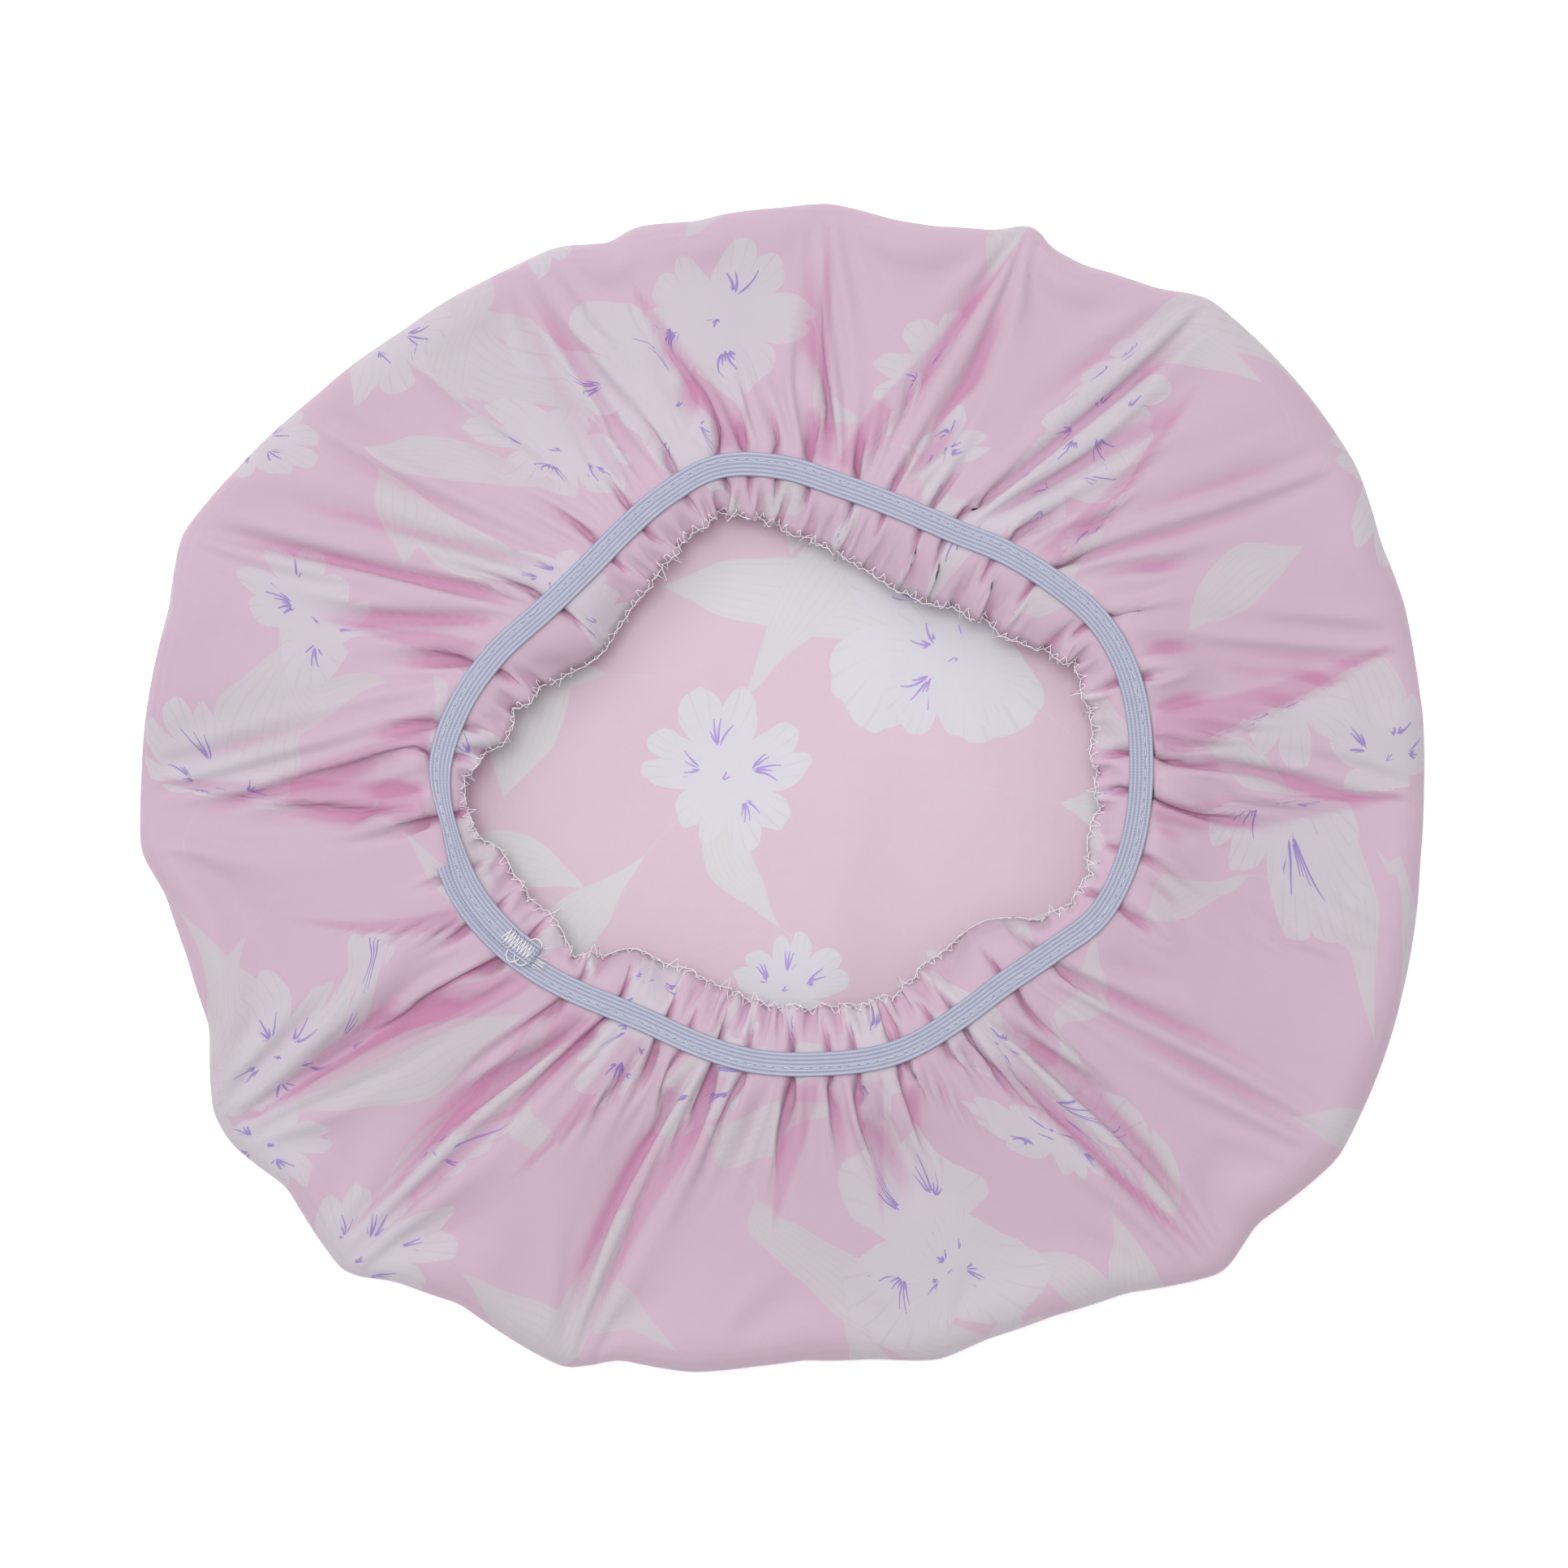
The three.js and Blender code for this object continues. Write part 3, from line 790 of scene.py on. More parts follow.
def seam_mesh(rng):
    """Lockstitches along the elastic: each one a short thread that dips in at both ends."""
    builder = bmesh.new()
    count = int(math.radians(SEAM_END - SEAM_START) * BAND_RADIUS / STITCH_PITCH)
    for middle in np.linspace(SEAM_START, SEAM_END, count):
        half = degrees_of(STITCH_LENGTH / 2) * rng.uniform(*LENGTH_SHARES)
        shift = SEAM_OFFSET + rng.normal(0, SEAM_STRAY)
        slant = rng.normal(0, SEAM_SLANT)
        share = np.linspace(-1, 1, 7)
        height = BAND_THICKNESS + STITCH_RISE - STITCH_DIP * np.abs(share) ** 3
        path = [
            on_band(np.array(middle + half * s), shift + slant * s, h)
            for s, h in zip(share, height)
        ]
        tube(builder, path, SEAM_THREAD)
    return finished_mesh(builder, "seam_stitches")


# The overlocking. Three in ten of its loops are slack and hang out over the edge
OVERLOCK_THREAD = 0.11 * MM
OVERLOCK_PITCH = 3.1 * MM
OVERLOCK_REACH = 1.9 * MM
REACH_SHARES = (0.45, 1.3)
PITCH_STRAY, PITCH_SHARES = 0.2, (0.55, 0.95)
SLACK_LOOPS, SLACK_LENGTHS, TIGHT_LENGTH = 0.3, (0.9, 2.8), 0.3 * MM
LOOP_STRAY = 0.2 * MM
CHAIN_INSETS, CHAIN_RISE, CHAIN_STRAY = (0.35 * MM, -0.15 * MM), 0.42 * MM, 0.08 * MM


def overlock_mesh(points, rng):
    """Overlocking round the ruffle's cut edge: a thread that runs to and fro over it, and one
    that chains along it, with slack loops here and there."""
    edge, inner = points[-1], points[-3]
    across = unit(inner - edge)
    around = unit(np.roll(edge, -1, axis=0) - np.roll(edge, 1, axis=0))
    normal = unit(np.cross(across, around))
    length = np.linalg.norm(np.roll(edge, -1, axis=0) - edge, axis=1)
    run = np.concatenate([[0], length.cumsum()])
    total = run[-1]
    stitches = int(total / OVERLOCK_PITCH)

    def at(where, table):
        spots = np.append(table, table[:1], axis=0)
        return np.array([np.interp(where % total, run, spots[:, k]) for k in range(3)])

    builder = bmesh.new()
    path = []
    for k in range(stitches):
        base = total * (k + rng.uniform(-PITCH_STRAY, PITCH_STRAY)) / stitches
        pitch = total / stitches * rng.uniform(*PITCH_SHARES)
        slack = TIGHT_LENGTH
        if rng.random() < SLACK_LOOPS:
            slack = rng.uniform(*SLACK_LENGTHS) * MM
        reach = OVERLOCK_REACH * rng.uniform(*REACH_SHARES)
        spots = [  # along the edge, in from it, above the cloth
            (0.0, -slack, 0.1 * MM),
            (0.22, 0.3 * reach, 0.32 * MM),
            (0.42, 0.85 * reach, 0.3 * MM),
            (0.5, reach, 0.15 * MM),
            (0.6, 0.85 * reach, 0.32 * MM),
            (0.8, 0.3 * reach, 0.34 * MM),
        ]
        for share, inset, lift in spots:
            where = base + share * pitch
            jitter = rng.normal(0, LOOP_STRAY, 3)
            spot = at(where, edge) + at(where, across) * inset
            path.append(spot + unit(at(where, normal)) * lift + jitter)
    tube(builder, path, OVERLOCK_THREAD, sides=5, closed=True)
    chain = []
    for k in range(2 * stitches):
        where = total * k / (2 * stitches)
        spot = at(where, edge) + at(where, across) * CHAIN_INSETS[k % 2]
        jitter = rng.normal(0, CHAIN_STRAY, 3)
        chain.append(spot + unit(at(where, normal)) * CHAIN_RISE + jitter)
    tube(builder, chain, OVERLOCK_THREAD, sides=5, closed=True)
    return finished_mesh(builder, "overlock_stitches")


# The closing stitches over the elastic's upper end
TACK_WIDTH, WIDTH_SHARES = 4.6 * MM, (0.75, 1.05)
TACK_PASSES = 9
TACK_HEIGHT = BAND_THICKNESS + 0.2 * MM
TACK_START, TACK_PITCH, TACK_STRAY = 1.2 * MM, 0.42 * MM, 0.08 * MM
TACK_RISE, TACK_DIP = 0.12 * MM, 0.15 * MM
LOOPS = [  # side, millimetres back from the end and out over the edge
    (1, 4.2, 2.2), (-1, 1.6, 1.5), (1, 2.4, 1.6),
]
LOOP_HALF, LOOP_INSET, LOOP_RISE = 1.5 * MM, 0.6 * MM, 0.5 * MM
FRAYED_ENDS, FRAYED_THREAD = 9, 0.08 * MM
FRAYED_LENGTHS, FRAYED_BEND, FRAYED_RISE = (1, 3.2), 0.8 * MM, 0.5 * MM


def closing_mesh(rng):
    """Close zigzag stitches over the elastic's upper end, loose loops and a few frayed ends."""
    builder = bmesh.new()
    path = []
    for k in range(2 * TACK_PASSES):
        back = TACK_START + TACK_PITCH * k + rng.normal(0, TACK_STRAY)
        side = 1 if k % 2 else -1
        across = side * TACK_WIDTH / 2 * rng.uniform(*WIDTH_SHARES)
        angle = np.array(END_ANGLE - degrees_of(back))
        path.append(on_band(angle, 0.6 * across, TACK_HEIGHT + TACK_RISE))
        path.append(on_band(angle, across, TACK_HEIGHT - TACK_DIP))
    tube(builder, path, SEAM_THREAD)
    for side, back, out in LOOPS:
        angle = END_ANGLE - degrees_of(back * MM)
        loop = []
        for turned in np.linspace(0, 1, 13):
            swing = math.sin(math.pi * turned)
            across = side * (BAND_WIDTH / 2 - LOOP_INSET + out * MM * swing)
            shift = degrees_of(LOOP_HALF) * math.cos(math.pi * turned)
            loop.append(on_band(np.array(angle + shift), across, TACK_HEIGHT + LOOP_RISE * swing))
        tube(builder, loop, SEAM_THREAD)
    for _ in range(FRAYED_ENDS):
        across = rng.uniform(-0.5, 0.5) * BAND_WIDTH
        reach = rng.uniform(*FRAYED_LENGTHS) * MM
        bend = rng.normal(0, FRAYED_BEND)
        share = np.linspace(0, 1, 6)
        ends = [
            on_band(
                np.array(END_ANGLE + degrees_of(reach) * s),
                across + bend * s * s,
                0.6 * BAND_THICKNESS + FRAYED_RISE * s * (1 - s),
            )
            for s in share
        ]
        tube(builder, ends, FRAYED_THREAD, sides=5)
    return finished_mesh(builder, "closing_stitches")


def linear(hex_colour):
    """A colour for a shader from its sRGB hex value."""
    channels = [int(hex_colour[i : i + 2], 16) / 255 for i in (1, 3, 5)]
    lit = [c / 12.92 if c <= 0.04045 else ((c + 0.055) / 1.055) ** 2.4 for c in channels]
    return (*lit, 1)


def set_inputs(node, inputs):
    """Links or sets a node's inputs, given in their order or by name."""
    pairs = inputs.items() if isinstance(inputs, dict) else enumerate(inputs)
    for name, value in pairs:
        if isinstance(value, bpy.types.NodeSocket):
            node.id_data.links.new(value, node.inputs[name])
        else:
            node.inputs[name].default_value = value


def add_node(tree, kind, inputs=(), output=0, **settings):
    """Adds a shader node with its settings and inputs, and gives one of its outputs, or all of
    them where output is None."""
    node = tree.nodes.new(f"ShaderNode{kind}")
    for name, value in settings.items():
        setattr(node, name, value)
    set_inputs(node, inputs)
    return node.outputs if output is None else node.outputs[output]


def new_material(name):
    """A material, the function that adds a node to it, and its shader."""
    material = bpy.data.materials.new(name)
    material.use_nodes = True
    tree = material.node_tree
    return material, functools.partial(add_node, tree), tree.nodes["Principled BSDF"]


# The print. Its shapes stand on the spots of scattered grids.
SCATTER = 0.5  # how far a spot strays from its grid, as a share of the spacing
INK_BLUR = 0.25 * MM
STROKE_BLUR = 0.1 * MM
STROKE_GAP = math.radians(14)  # between the strokes of a tuft
STROKE_CURL = 40  # radians that a stroke turns in a metre
STROKE_FOOT, STROKE_TIP = 0.33 * MM, 0.12 * MM  # half widths
STROKES_DRAWN = 0.82  # the share of a tuft's strokes that are there
STROKE_ENDS, STROKE_STARTS = (0.3, 1), (0.05, 0.22)  # shares of the longest stroke
MIDDLE_STROKE = 30.5  # added before counting, so that no count is below 0
PETAL_TUFT, MIDDLE_TUFT = 0.36, 0.13  # the longest stroke, as a share of the blossom's radius
PETAL_FAN, MIDDLE_FAN = math.radians(44), math.radians(36)  # half the spread of the strokes
TUFT_FEET = (0.18, 0.36)  # shares of the radius
BARE_PETALS = 0.2  # the share of them without a tuft
PETAL_VEINS, LEAF_VEINS = 46, 22  # how close they lie
PETAL_VEIN_EDGE, LEAF_VEIN_EDGE = 0.86, 0.8  # the nearer to 1, the finer
VEINED_PETAL = (0.4, 0.8)  # shares of the radius where veins fade in
SMALLEST_PETAL = 0.8  # of the largest
LEAF_STRETCH, LEAF_BEND = (1.25, 0.8), 14  # from shorter to longer, and how far a leaf bends
LAST_PETAL = 10  # added before counting, so that no count is below 0
FRILLS = [(9 * MM, 4.5 * MM), (3 * MM, 1.6 * MM)]  # width and depth of a petal's frilled edge

# Half a petal or leaf: share of the way to its edge or along it, share of its size
NOTCHED_PETAL_SHARES = [
    (0, 0.8), (0.07, 0.87), (0.26, 1), (0.5, 0.97), (0.72, 0.88), (0.88, 0.74), (1, 0.57),
]
BROAD_PETAL_SHARES = [(0, 1), (0.25, 0.97), (0.5, 0.87), (0.75, 0.7), (0.9, 0.54), (1, 0.42)]
LEAF_SHARES = [(0, 0), (0.1, 0.38), (0.3, 0.88), (0.45, 1), (0.65, 0.8), (0.85, 0.35), (1, 0)]

# Layers of the print, from the lowest up. Leaves: spacing, length, width and the layer's shift.
# Blossoms: spacing, radius, petals, outline of a petal, shift and share of the places in use.
LEAF_LAYERS = [
    (98 * MM, 66 * MM, 18 * MM, (0.389, 0.38, 0)),
    (82 * MM, 50 * MM, 14 * MM, (0.909, 0.393, 0)),
    (66 * MM, 38 * MM, 12 * MM, (0.349, 0.348, 0)),
]
BLOSSOM_LAYERS = [
    (118 * MM, 34 * MM, 4, BROAD_PETAL_SHARES, (0.481, 0.093, 0), 0.7),
    (58 * MM, 14 * MM, 5, NOTCHED_PETAL_SHARES, (0.547, 0.921, 0), 0.6),
    (74 * MM, 21 * MM, 5, NOTCHED_PETAL_SHARES, (0.563, 0.744, 0), 0.72),
]


def cell_spot(add, place, spacing, shift):
    """Place relative to the nearest spot of a scattered grid, turned at random, and the spot's
    three random numbers."""
    moved = add("VectorMath", (place, shift), operation="ADD")
    cell = add(
        "TexVoronoi", {"Vector": moved, "Scale": 1 / spacing, "Randomness": SCATTER}, None,
        voronoi_dimensions="2D", feature="F1",
    )
    local = add("VectorMath", (moved, cell["Position"]), operation="SUBTRACT")
    chance = add("SeparateColor", (cell["Color"],), None)
    angle = add("Math", (chance[0], TURN), operation="MULTIPLY")
    turned = add("VectorRotate", {"Vector": local, "Angle": angle}, rotation_type="Z_AXIS")
    return turned, chance


def printed_edge(add, beyond, blur):
    """1 where a distance past a printed edge is below 0, fading over the ink's soft edge."""
    return add("MapRange", {"Value": beyond, "From Min": blur, "From Max": -blur})


def outline_curve(add, value, shares):
    """The outline of a petal or leaf through listed points."""
    outline = add("FloatCurve", {"Value": value})
    mapping = outline.node.mapping
    points = mapping.curves[0].points
    points[0].location, points[-1].location = shares[0], shares[-1]
    for share in shares[1:-1]:
        points.new(*share)
    mapping.update()
    return outline


def stroke_fan(add, out, aside, key, reach, half_spread):
    """A tuft of short brush strokes that fan out from a foot. out and aside give the place from
    the foot, and reach is the longest stroke."""
    fan = add("Math", (aside, out), operation="ARCTAN2")
    place = add("CombineXYZ", (out, aside))
    run = add("VectorMath", (place,), "Value", operation="LENGTH")
    curl = add("Math", (run, STROKE_CURL, fan), operation="MULTIPLY_ADD")
    count = add("Math", (curl, 1 / STROKE_GAP, MIDDLE_STROKE), operation="MULTIPLY_ADD")
    index = add("Math", (count,), operation="FLOOR")
    share = add("Math", (count,), operation="FRACT")
    share = add("Math", (share, 0.5), operation="SUBTRACT")
    share = add("Math", (share,), operation="ABSOLUTE")
    arc = add("Math", (run, STROKE_GAP), operation="MULTIPLY")
    arc = add("Math", (arc, share), operation="MULTIPLY")

    chance = add("CombineXYZ", (key, index))
    chance = add("TexWhiteNoise", {"Vector": chance}, "Color", noise_dimensions="3D")
    chance = add("SeparateColor", (chance,), None)
    end, start = (
        add("MapRange", {"Value": draw, "To Min": least * reach, "To Max": most * reach})
        for draw, (least, most) in ((chance[0], STROKE_ENDS), (chance[1], STROKE_STARTS))
    )
    length = add("Math", (end, start), operation="SUBTRACT")
    done = add("Math", (run, start), operation="SUBTRACT")
    done = add("Math", (done, length), operation="DIVIDE")
    width = add("MapRange", {"Value": done, "To Min": STROKE_FOOT, "To Max": STROKE_TIP})
    beyond = add("Math", (arc, width), operation="SUBTRACT")
    turned = add("Math", (fan,), operation="ABSOLUTE")
    ink = printed_edge(add, beyond, STROKE_BLUR)
    limits = [
        (done, "GREATER_THAN", 0), (done, "LESS_THAN", 1),
        (turned, "LESS_THAN", half_spread), (chance[2], "LESS_THAN", STROKES_DRAWN),
    ]
    for value, side, limit in limits:
        inside = add("Math", (value, limit), operation=side)
        ink = add("Math", (ink, inside), operation="MULTIPLY")
    return ink


def blossoms(add, place, spacing, radius, petals, shares, shift, present):
    """A layer of scattered blossoms: the printed shape, its fine veins, and the tufts of
    strokes at the foot of the petals and in the middle."""
    local, chance = cell_spot(add, place, spacing, shift)
    spot = add("SeparateXYZ", (local,), None)
    angle = add("Math", (spot[1], spot[0]), operation="ARCTAN2")
    run = add("VectorMath", (local,), "Value", operation="LENGTH")
    sector = add("Math", (angle, petals / TURN, LAST_PETAL), operation="MULTIPLY_ADD")
    index = add("Math", (sector,), operation="FLOOR")
    share = add("Math", (sector,), operation="FRACT")
    offset = add("Math", (share, 0.5), operation="SUBTRACT")
    to_edge = add("Math", (offset,), operation="ABSOLUTE")
    to_edge = add("Math", (to_edge, 2), operation="MULTIPLY")
    rim = outline_curve(add, to_edge, shares)

    # Petals of one blossom differ in size, and their edges are frilled
    petal = add("CombineXYZ", (index, chance[1], chance[2]))
    petal = add("TexWhiteNoise", {"Vector": petal}, noise_dimensions="3D")
    size = add("MapRange", {"Value": petal, "To Min": SMALLEST_PETAL * radius, "To Max": radius})
    rim = add("Math", (rim, size), operation="MULTIPLY")
    for width, depth in FRILLS:
        frill = add("TexNoise", {"Vector": place, "Scale": 1 / width, "Detail": 0})
        frill = add("Math", (frill, 0.5), operation="SUBTRACT")
        rim = add("Math", (frill, depth, rim), operation="MULTIPLY_ADD")
    beyond = add("Math", (run, rim), operation="SUBTRACT")
    shown = add("Math", (chance[2], present), operation="LESS_THAN")
    shape = printed_edge(add, beyond, INK_BLUR)
    shape = add("Math", (shape, shown), operation="MULTIPLY")

    # Faint veins run out through the outer half of each petal
    veins = add("Math", (offset, PETAL_VEINS), operation="MULTIPLY")
    veins = add("Math", (veins,), operation="COSINE")
    veins = add("MapRange", {"Value": veins, "From Min": PETAL_VEIN_EDGE})
    near, far = (share * radius for share in VEINED_PETAL)
    outer = add("MapRange", {"Value": run, "From Min": near, "From Max": far})
    veins = add("Math", (veins, outer), operation="MULTIPLY")

    # A tuft stands at the foot of most petals' middle lines, and one in the blossom's middle
    bend = add("Math", (offset, TURN / petals), operation="MULTIPLY")
    cosine, sine = (add("Math", (bend,), operation=kind) for kind in ("COSINE", "SINE"))
    near, far = (share * radius for share in TUFT_FEET)
    foot = add("MapRange", {"Value": petal, "To Min": near, "To Max": far})
    out = add("Math", (run, cosine), operation="MULTIPLY")
    out = add("Math", (out, foot), operation="SUBTRACT")
    aside = add("Math", (run, sine), operation="MULTIPLY")
    key = add("Math", (petal, 91.7), operation="MULTIPLY")
    tufts = stroke_fan(add, out, aside, key, PETAL_TUFT * radius, PETAL_FAN)
    tufted = add("Math", (petal, BARE_PETALS), operation="GREATER_THAN")
    tufts = add("Math", (tufts, tufted), operation="MULTIPLY")
    out = add("Math", (spot[0], 0.04 * radius), operation="ADD")
    key = add("Math", (chance[1], 57.3), operation="MULTIPLY")
    marks = stroke_fan(add, out, spot[1], key, MIDDLE_TUFT * radius, MIDDLE_FAN)
    return shape, veins, add("Math", (tufts, marks), operation="MAXIMUM")


def leaves(add, place, spacing, length, width, shift):
    """A layer of scattered long leaves, each bent along its length: the shape and its veins."""
    local, chance = cell_spot(add, place, spacing, shift)
    spot = add("SeparateXYZ", (local,), None)
    most, least = LEAF_STRETCH
    longer = add("MapRange", {"Value": chance[2], "To Min": most, "To Max": least})
    run = add("Math", (spot[0], longer), operation="MULTIPLY")
    along = add("MapRange", {"Value": run, "From Min": -length / 2, "From Max": length / 2})
    half_width = outline_curve(add, along, LEAF_SHARES)
    bend = add("MapRange", {"Value": chance[1], "To Min": -LEAF_BEND, "To Max": LEAF_BEND})
    squared = add("Math", (run, run), operation="MULTIPLY")
    aside = add("Math", (squared, bend, spot[1]), operation="MULTIPLY_ADD")
    rim = add("Math", (half_width, width / 2), operation="MULTIPLY")
    across = add("Math", (aside,), operation="ABSOLUTE")
    beyond = add("Math", (across, rim), operation="SUBTRACT")
    veins = add("Math", (aside, rim), operation="DIVIDE")
    veins = add("Math", (veins, LEAF_VEINS), operation="MULTIPLY")
    veins = add("Math", (veins,), operation="COSINE")
    veins = add("MapRange", {"Value": veins, "From Min": LEAF_VEIN_EDGE})
    return printed_edge(add, beyond, INK_BLUR), veins


DYE_PATCH = 70 * MM  # the dye is a little deeper here and paler there
WANDER_WIDTH, WANDER = 30 * MM, 11 * MM  # the print's shapes are drawn by hand, so none are alike
# How far the painted shade in the folds deepens the colour
FOLD_SHADE_STRENGTH = 0.85
# The threads of the weave lie 0.35 mm apart, which is too fine to show. The weave is drawn
# coarser, as shallow ridges that cross 4.4 mm apart.
RIDGE_PITCH = 0.7 * MM * TURN
WAVE_TURN = 20  # radians of the wave texture in each unit of its scale
CRUMPLE = 14 * MM


def printed_cloth(name, pinks, petal_white, leaf_white, vein, ink_colour, fold_shade_pink):
    """Thin plain-woven polyester, screen printed with pale blossoms and leaves on pink. Its colour
    is drawn a deeper pink in painted shade down in its folds and where it lies folded on itself."""
    material, add, shader = new_material(name)
    place = add("Attribute", (), "Vector", attribute_name="cut_place")
    # How much painted shade each point takes, down in the folds and beside the main folds
    depth = add("Attribute", (), "Fac", attribute_name="fold_shade")
    pinks = [linear(pink) for pink in pinks]
    dye = add("TexNoise", {"Vector": place, "Scale": 1 / DYE_PATCH, "Detail": 3})
    colour = add("Mix", {0: dye, 6: pinks[0], 7: pinks[1]}, 2, data_type="RGBA")

    wander = add("TexNoise", {"Vector": place, "Scale": 1 / WANDER_WIDTH, "Detail": 1}, "Color")
    wander = add("VectorMath", (wander, (0.5, 0.5, 0.5)), operation="SUBTRACT")
    wander = add("VectorMath", {0: wander, "Scale": WANDER}, operation="SCALE")
    drawn = add("VectorMath", (place, wander), operation="ADD")
    white, vein, ink_colour = linear(leaf_white), linear(vein), linear(ink_colour)
    for layer in LEAF_LAYERS:
        shape, veins = leaves(add, drawn, *layer)
        blade = add("Mix", {0: veins, 6: white, 7: vein}, 2, data_type="RGBA")
        colour = add("Mix", {0: shape, 6: colour, 7: blade}, 2, data_type="RGBA")
    white = linear(petal_white)
    for layer in BLOSSOM_LAYERS:
        shape, veins, ink = blossoms(add, drawn, *layer)
        petal = add("Mix", {0: veins, 6: white, 7: vein}, 2, data_type="RGBA")
        petal = add("Mix", {0: ink, 6: petal, 7: ink_colour}, 2, data_type="RGBA")
        colour = add("Mix", {0: shape, 6: colour, 7: petal}, 2, data_type="RGBA")

    # Painted shade: the colour is multiplied towards a deeper pink down in the folds and in the
    # wedges beside the main folds
    fold_shaded = add(
        "Mix", {0: FOLD_SHADE_STRENGTH, 6: colour, 7: linear(fold_shade_pink)}, 2,
        data_type="RGBA", blend_type="MULTIPLY",
    )
    colour = add("Mix", {0: depth, 6: colour, 7: fold_shaded}, 2, data_type="RGBA")

    scale = TURN / WAVE_TURN / RIDGE_PITCH
    ridges = [
        add("TexWave", {"Vector": place, "Scale": scale}, 1, bands_direction=way) for way in "XY"
    ]
    weave = add("Math", ridges, operation="ADD")
    crumple = add("TexNoise", {"Vector": place, "Scale": 1 / CRUMPLE, "Detail": 4})
    fine = add("Bump", {"Strength": 0.25, "Distance": 0.04 * MM, "Height": weave})
    bump = {"Strength": 0.4, "Distance": 0.7 * MM, "Height": crumple, "Normal": fine}
    # Light comes through the thin cloth, so its folds stay bright
    set_inputs(shader, {
        "Base Color": colour, "Normal": add("Bump", bump), "Subsurface Weight": 0.5,
        "Subsurface Radius": (1, 0.7, 0.85), "Subsurface Scale": 1 * MM,
    })
    return material, shader


def printed_side():
    """The dyed, printed outside: a soft satin sheen from its close, fine weave."""
    material, shader = printed_cloth(
        # the last colour is the deeper pink of the painted shade in the folds
        "printed_polyester", ("#CEB2C5", "#C6A8BB"), "#CABDC9", "#C8BBC5", "#C4B7C1",
        "#9885BE", "#EFBAD7",
    )
    set_inputs(shader, {
        "Roughness": 0.7, "Specular IOR Level": 0.25, "Sheen Weight": 0.06,
        "Sheen Roughness": 0.5,
    })
    return material


def coated_side():
    """The waterproof coating on the inside: a milky film that the print shows through, so its
    colours are paler and a little warmer, with a smoother shine."""
    material, shader = printed_cloth(
        # the last colour is the deeper pink of the painted shade in the folds
        "coated_polyester", ("#CAB7C3", "#C5B1BD"), "#C6C6CD", "#C5C4C8", "#C2C0C5",
        "#A28FC9", "#F2C8DE",
    )
    set_inputs(shader, {"Roughness": 0.55, "Specular IOR Level": 0.3})
    return material


YARN_PITCH = 0.7 * MM  # yarns cross the braid at a slant
YARN_LEAN = 0.35 * MM  # one way and the other on neighbouring cords


def braided_rubber():
    """Flat braid of bulked polyester over rubber cords: matte, with a fine slanting rib, and painted
    shade that darkens the grooves between the cords.
    """
    material, add, shader = new_material("braided_elastic")
    place = add("Attribute", (), "Vector", attribute_name="braid_place")
    run, across = add("SeparateXYZ", (place,), None)[:2]
    cord = add("Math", (across, BAND_RIDGES / BAND_WIDTH, 10), operation="MULTIPLY_ADD")
    lean = add("Math", (cord, 1), operation="PINGPONG")
    lean = add("Math", (lean, YARN_LEAN), operation="MULTIPLY")
    yarn = add("Math", (run, lean), operation="ADD")
    yarn = add("Math", (yarn, TURN / YARN_PITCH), operation="MULTIPLY")
    yarn = add("Math", (yarn,), operation="SINE")
    # Painted shade: the colour darkens from the cords' tops into the grooves between them
    groove = add("Math", (cord, TURN), operation="MULTIPLY")
    groove = add("Math", (groove,), operation="COSINE")
    shade = add("MapRange", {"Value": groove, "From Min": -1})
    shades = {0: shade, 6: linear("#BDBFD0"), 7: linear("#8F91A9")}
    colour = add("Mix", shades, 2, data_type="RGBA")
    mottle = add("TexNoise", {"Vector": place, "Scale": 1 / (2.5 * MM), "Detail": 3})
    shades = {0: mottle, 6: linear("#9C9EB6"), 7: linear("#B8BACD")}
    mottled = add("Mix", shades, 2, data_type="RGBA")
    colour = add("Mix", {0: 0.35, 6: colour, 7: mottled}, 2, data_type="RGBA")
    bump = add("Bump", {"Strength": 0.5, "Distance": 0.1 * MM, "Height": yarn})
    set_inputs(shader, {
        "Base Color": colour, "Normal": bump, "Roughness": 0.8, "Sheen Weight": 0.2,
    })
    return material


def spun_thread(name, light, dark):
    """Spun polyester sewing thread: matte, with the twist of its two plies."""
    material, add, shader = new_material(name)
    place = add("TexCoord", (), "Object")
    twist = add("TexNoise", {"Vector": place, "Scale": 1 / (0.4 * MM), "Detail": 2})
    colour = add("Mix", {0: twist, 6: linear(light), 7: linear(dark)}, 2, data_type="RGBA")
    bump = add("Bump", {"Strength": 0.4, "Distance": 0.05 * MM, "Height": twist})
    set_inputs(shader, {"Base Color": colour, "Normal": bump, "Roughness": 0.7})
    return material


def opal_acrylic():
    """Matte white acrylic sheet of a table that is lit softly from below, so that hardly any
    shadow shows on it."""
    material, add, shader = new_material("opal_acrylic")
    place = add("TexCoord", (), "Object")
    grain = add("TexNoise", {"Vector": place, "Scale": 1 / (3 * MM), "Detail": 3})
    shades = {0: grain, 6: linear("#FBFBFB"), 7: linear("#FEFEFE")}
    set_inputs(shader, {
        "Base Color": add("Mix", shades, 2, data_type="RGBA"), "Roughness": 0.9,
        "Emission Color": linear(WHITE), "Emission Strength": 0.35,
    })
    return material


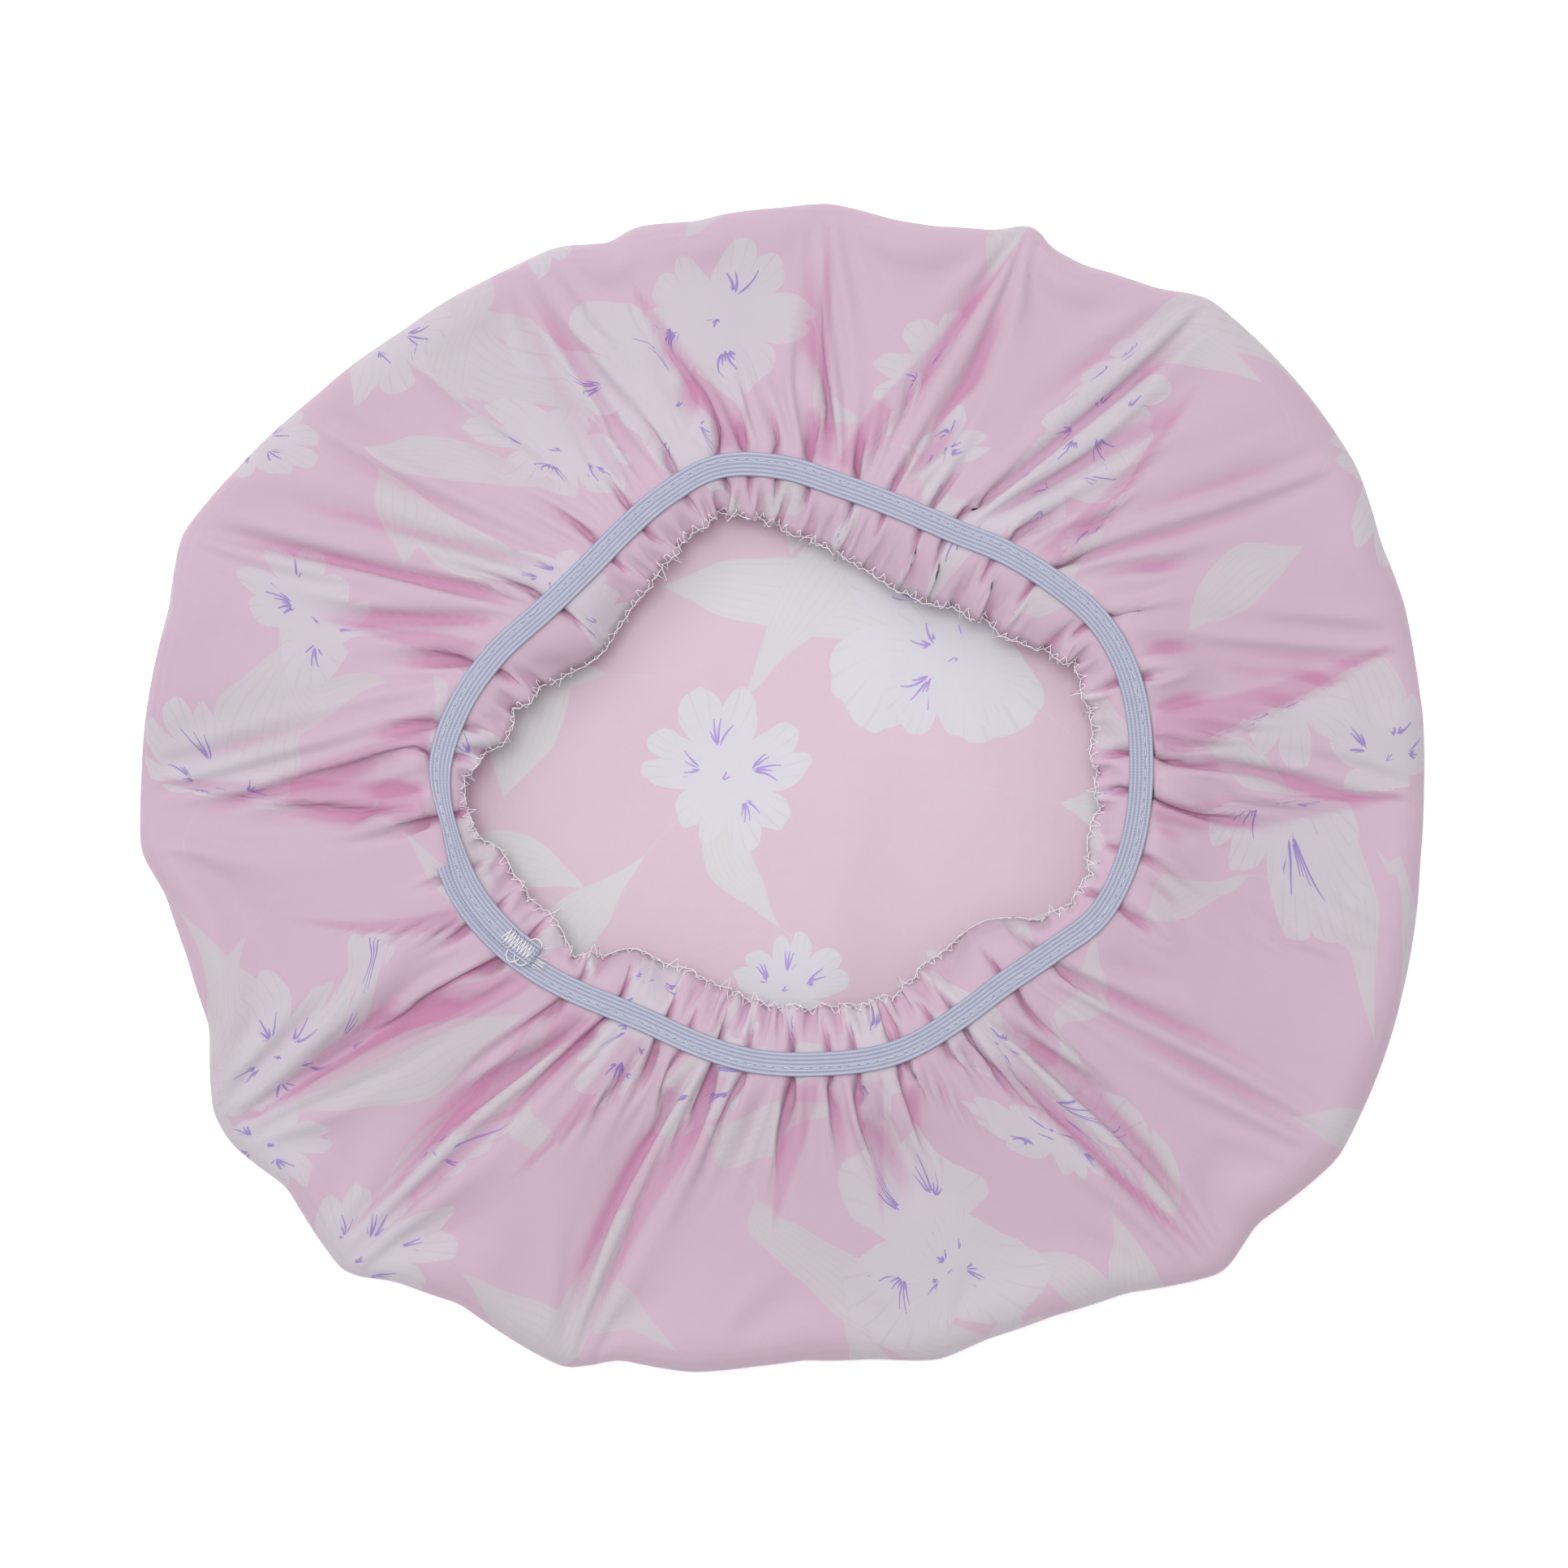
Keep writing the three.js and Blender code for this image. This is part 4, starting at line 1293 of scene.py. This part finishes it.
# The camera looks straight down. The photograph is 1932 pixels wide and a pixel is 0.19 mm at
# the height of the brim.
PIXELS = 1932
PIXEL = 0.19 * MM
CAMERA_HEIGHT = 1.0
BRIM_HEIGHT = 10 * MM
FARTHEST_SEEN = 20
FLOOR_REACH = 12
LIGHTS = [  # place, width and power
    ("key_light", (-0.07, 0.12, 1.05), 0.5, 6.7),
    ("fill_light", (-0.75, 1.2, 1.9), 2, 14),
]
SURROUND = 0.42  # strength of the even light from all sides
WHITE = "#FFFFFF"


def add_camera():
    camera = add_object("camera", bpy.data.cameras.new("camera"))
    camera.location = (0, 0, CAMERA_HEIGHT)
    half = PIXELS * PIXEL / 2
    camera.data.angle = 2 * math.atan(half / (CAMERA_HEIGHT - BRIM_HEIGHT))
    camera.data.clip_end = FARTHEST_SEEN
    bpy.context.scene.camera = camera


def add_floor():
    mesh = bpy.data.meshes.new("floor")
    signs = ((-1, -1), (1, -1), (1, 1), (-1, 1))
    corners = [(FLOOR_REACH * x, FLOOR_REACH * y, 0) for x, y in signs]
    mesh.from_pydata(corners, [], [(0, 1, 2, 3)])
    floor = add_object("floor", mesh)
    floor.data.materials.append(opal_acrylic())


def add_light(name, place, size, power):
    lamp = bpy.data.lights.new(name, "AREA")
    lamp.shape = "DISK"
    lamp.size = size
    lamp.energy = power
    lamp.color = linear(WHITE)[:3]
    light = add_object(name, lamp)
    light.location = place
    light.rotation_euler = light.location.to_track_quat("Z", "Y").to_euler()


def add_studio():
    for light in LIGHTS:
        add_light(*light)
    world = bpy.data.worlds.new("studio")
    world.use_nodes = True
    backdrop = world.node_tree.nodes["Background"]
    set_inputs(backdrop, {"Color": linear(WHITE), "Strength": SURROUND})
    bpy.context.scene.world = world
    bpy.context.scene.view_settings.view_transform = "Standard"


def build():
    rng = np.random.default_rng(SEED)
    add_camera()
    smooth, zones = smooth_cloth()
    along = along_brim(zones)
    folds = brim_folds(rng)
    folded = first_folds(smooth, zones, along, folds)
    lengths = fold_lengths(smooth, zones, along, folds)
    stiffness = panel_stiffness(smooth, zones, along, folds)
    points = gather_cloth(smooth, folded, lengths, stiffness, zones, rng)
    points = close_folds(smooth, points, zones, along, folds, rng)
    points = puff_up(smooth, points, zones, along)
    places = cut_places(smooth, points, zones, along, folds)
    # Painted shade: how far each point's colour is drawn towards a deeper pink, in the folds and
    # beside the main folds
    depths = VALLEY_SHADE * valley_depths(points, along)
    depths += TUCK_SHADE * wedge_shade_shares(smooth, zones, along, folds)

    cloth = add_piece("gathered_cloth", cloth_mesh(points, places, depths), "cap_cloth")
    cloth.data.materials.append(printed_side())
    cloth.data.materials.append(coated_side())
    sheet = cloth.modifiers.new("thickness", "SOLIDIFY")
    sheet.thickness = CLOTH_THICKNESS
    sheet.offset = 0
    sheet.material_offset = 1

    elastic = add_piece("elastic_braid", elastic_mesh(), "elastic_band")
    elastic.data.materials.append(braided_rubber())

    thread = spun_thread("spun_polyester_thread", "#F4F1F5", "#E3DEE4")
    grey_thread = spun_thread("grey_polyester_thread", "#D3D5E0", "#BDBFCE")
    seam = add_piece("seam_stitches", seam_mesh(rng), "band_seam_thread")
    overlock = add_piece(
        "overlock_stitches", overlock_mesh(points, rng), "edge_overlock_thread"
    )
    closing = add_piece(
        "closing_stitches", closing_mesh(rng), "join_bartack_thread"
    )
    seam.data.materials.append(grey_thread)
    for piece in (overlock, closing):
        piece.data.materials.append(thread)

    add_floor()
    add_studio()


build()
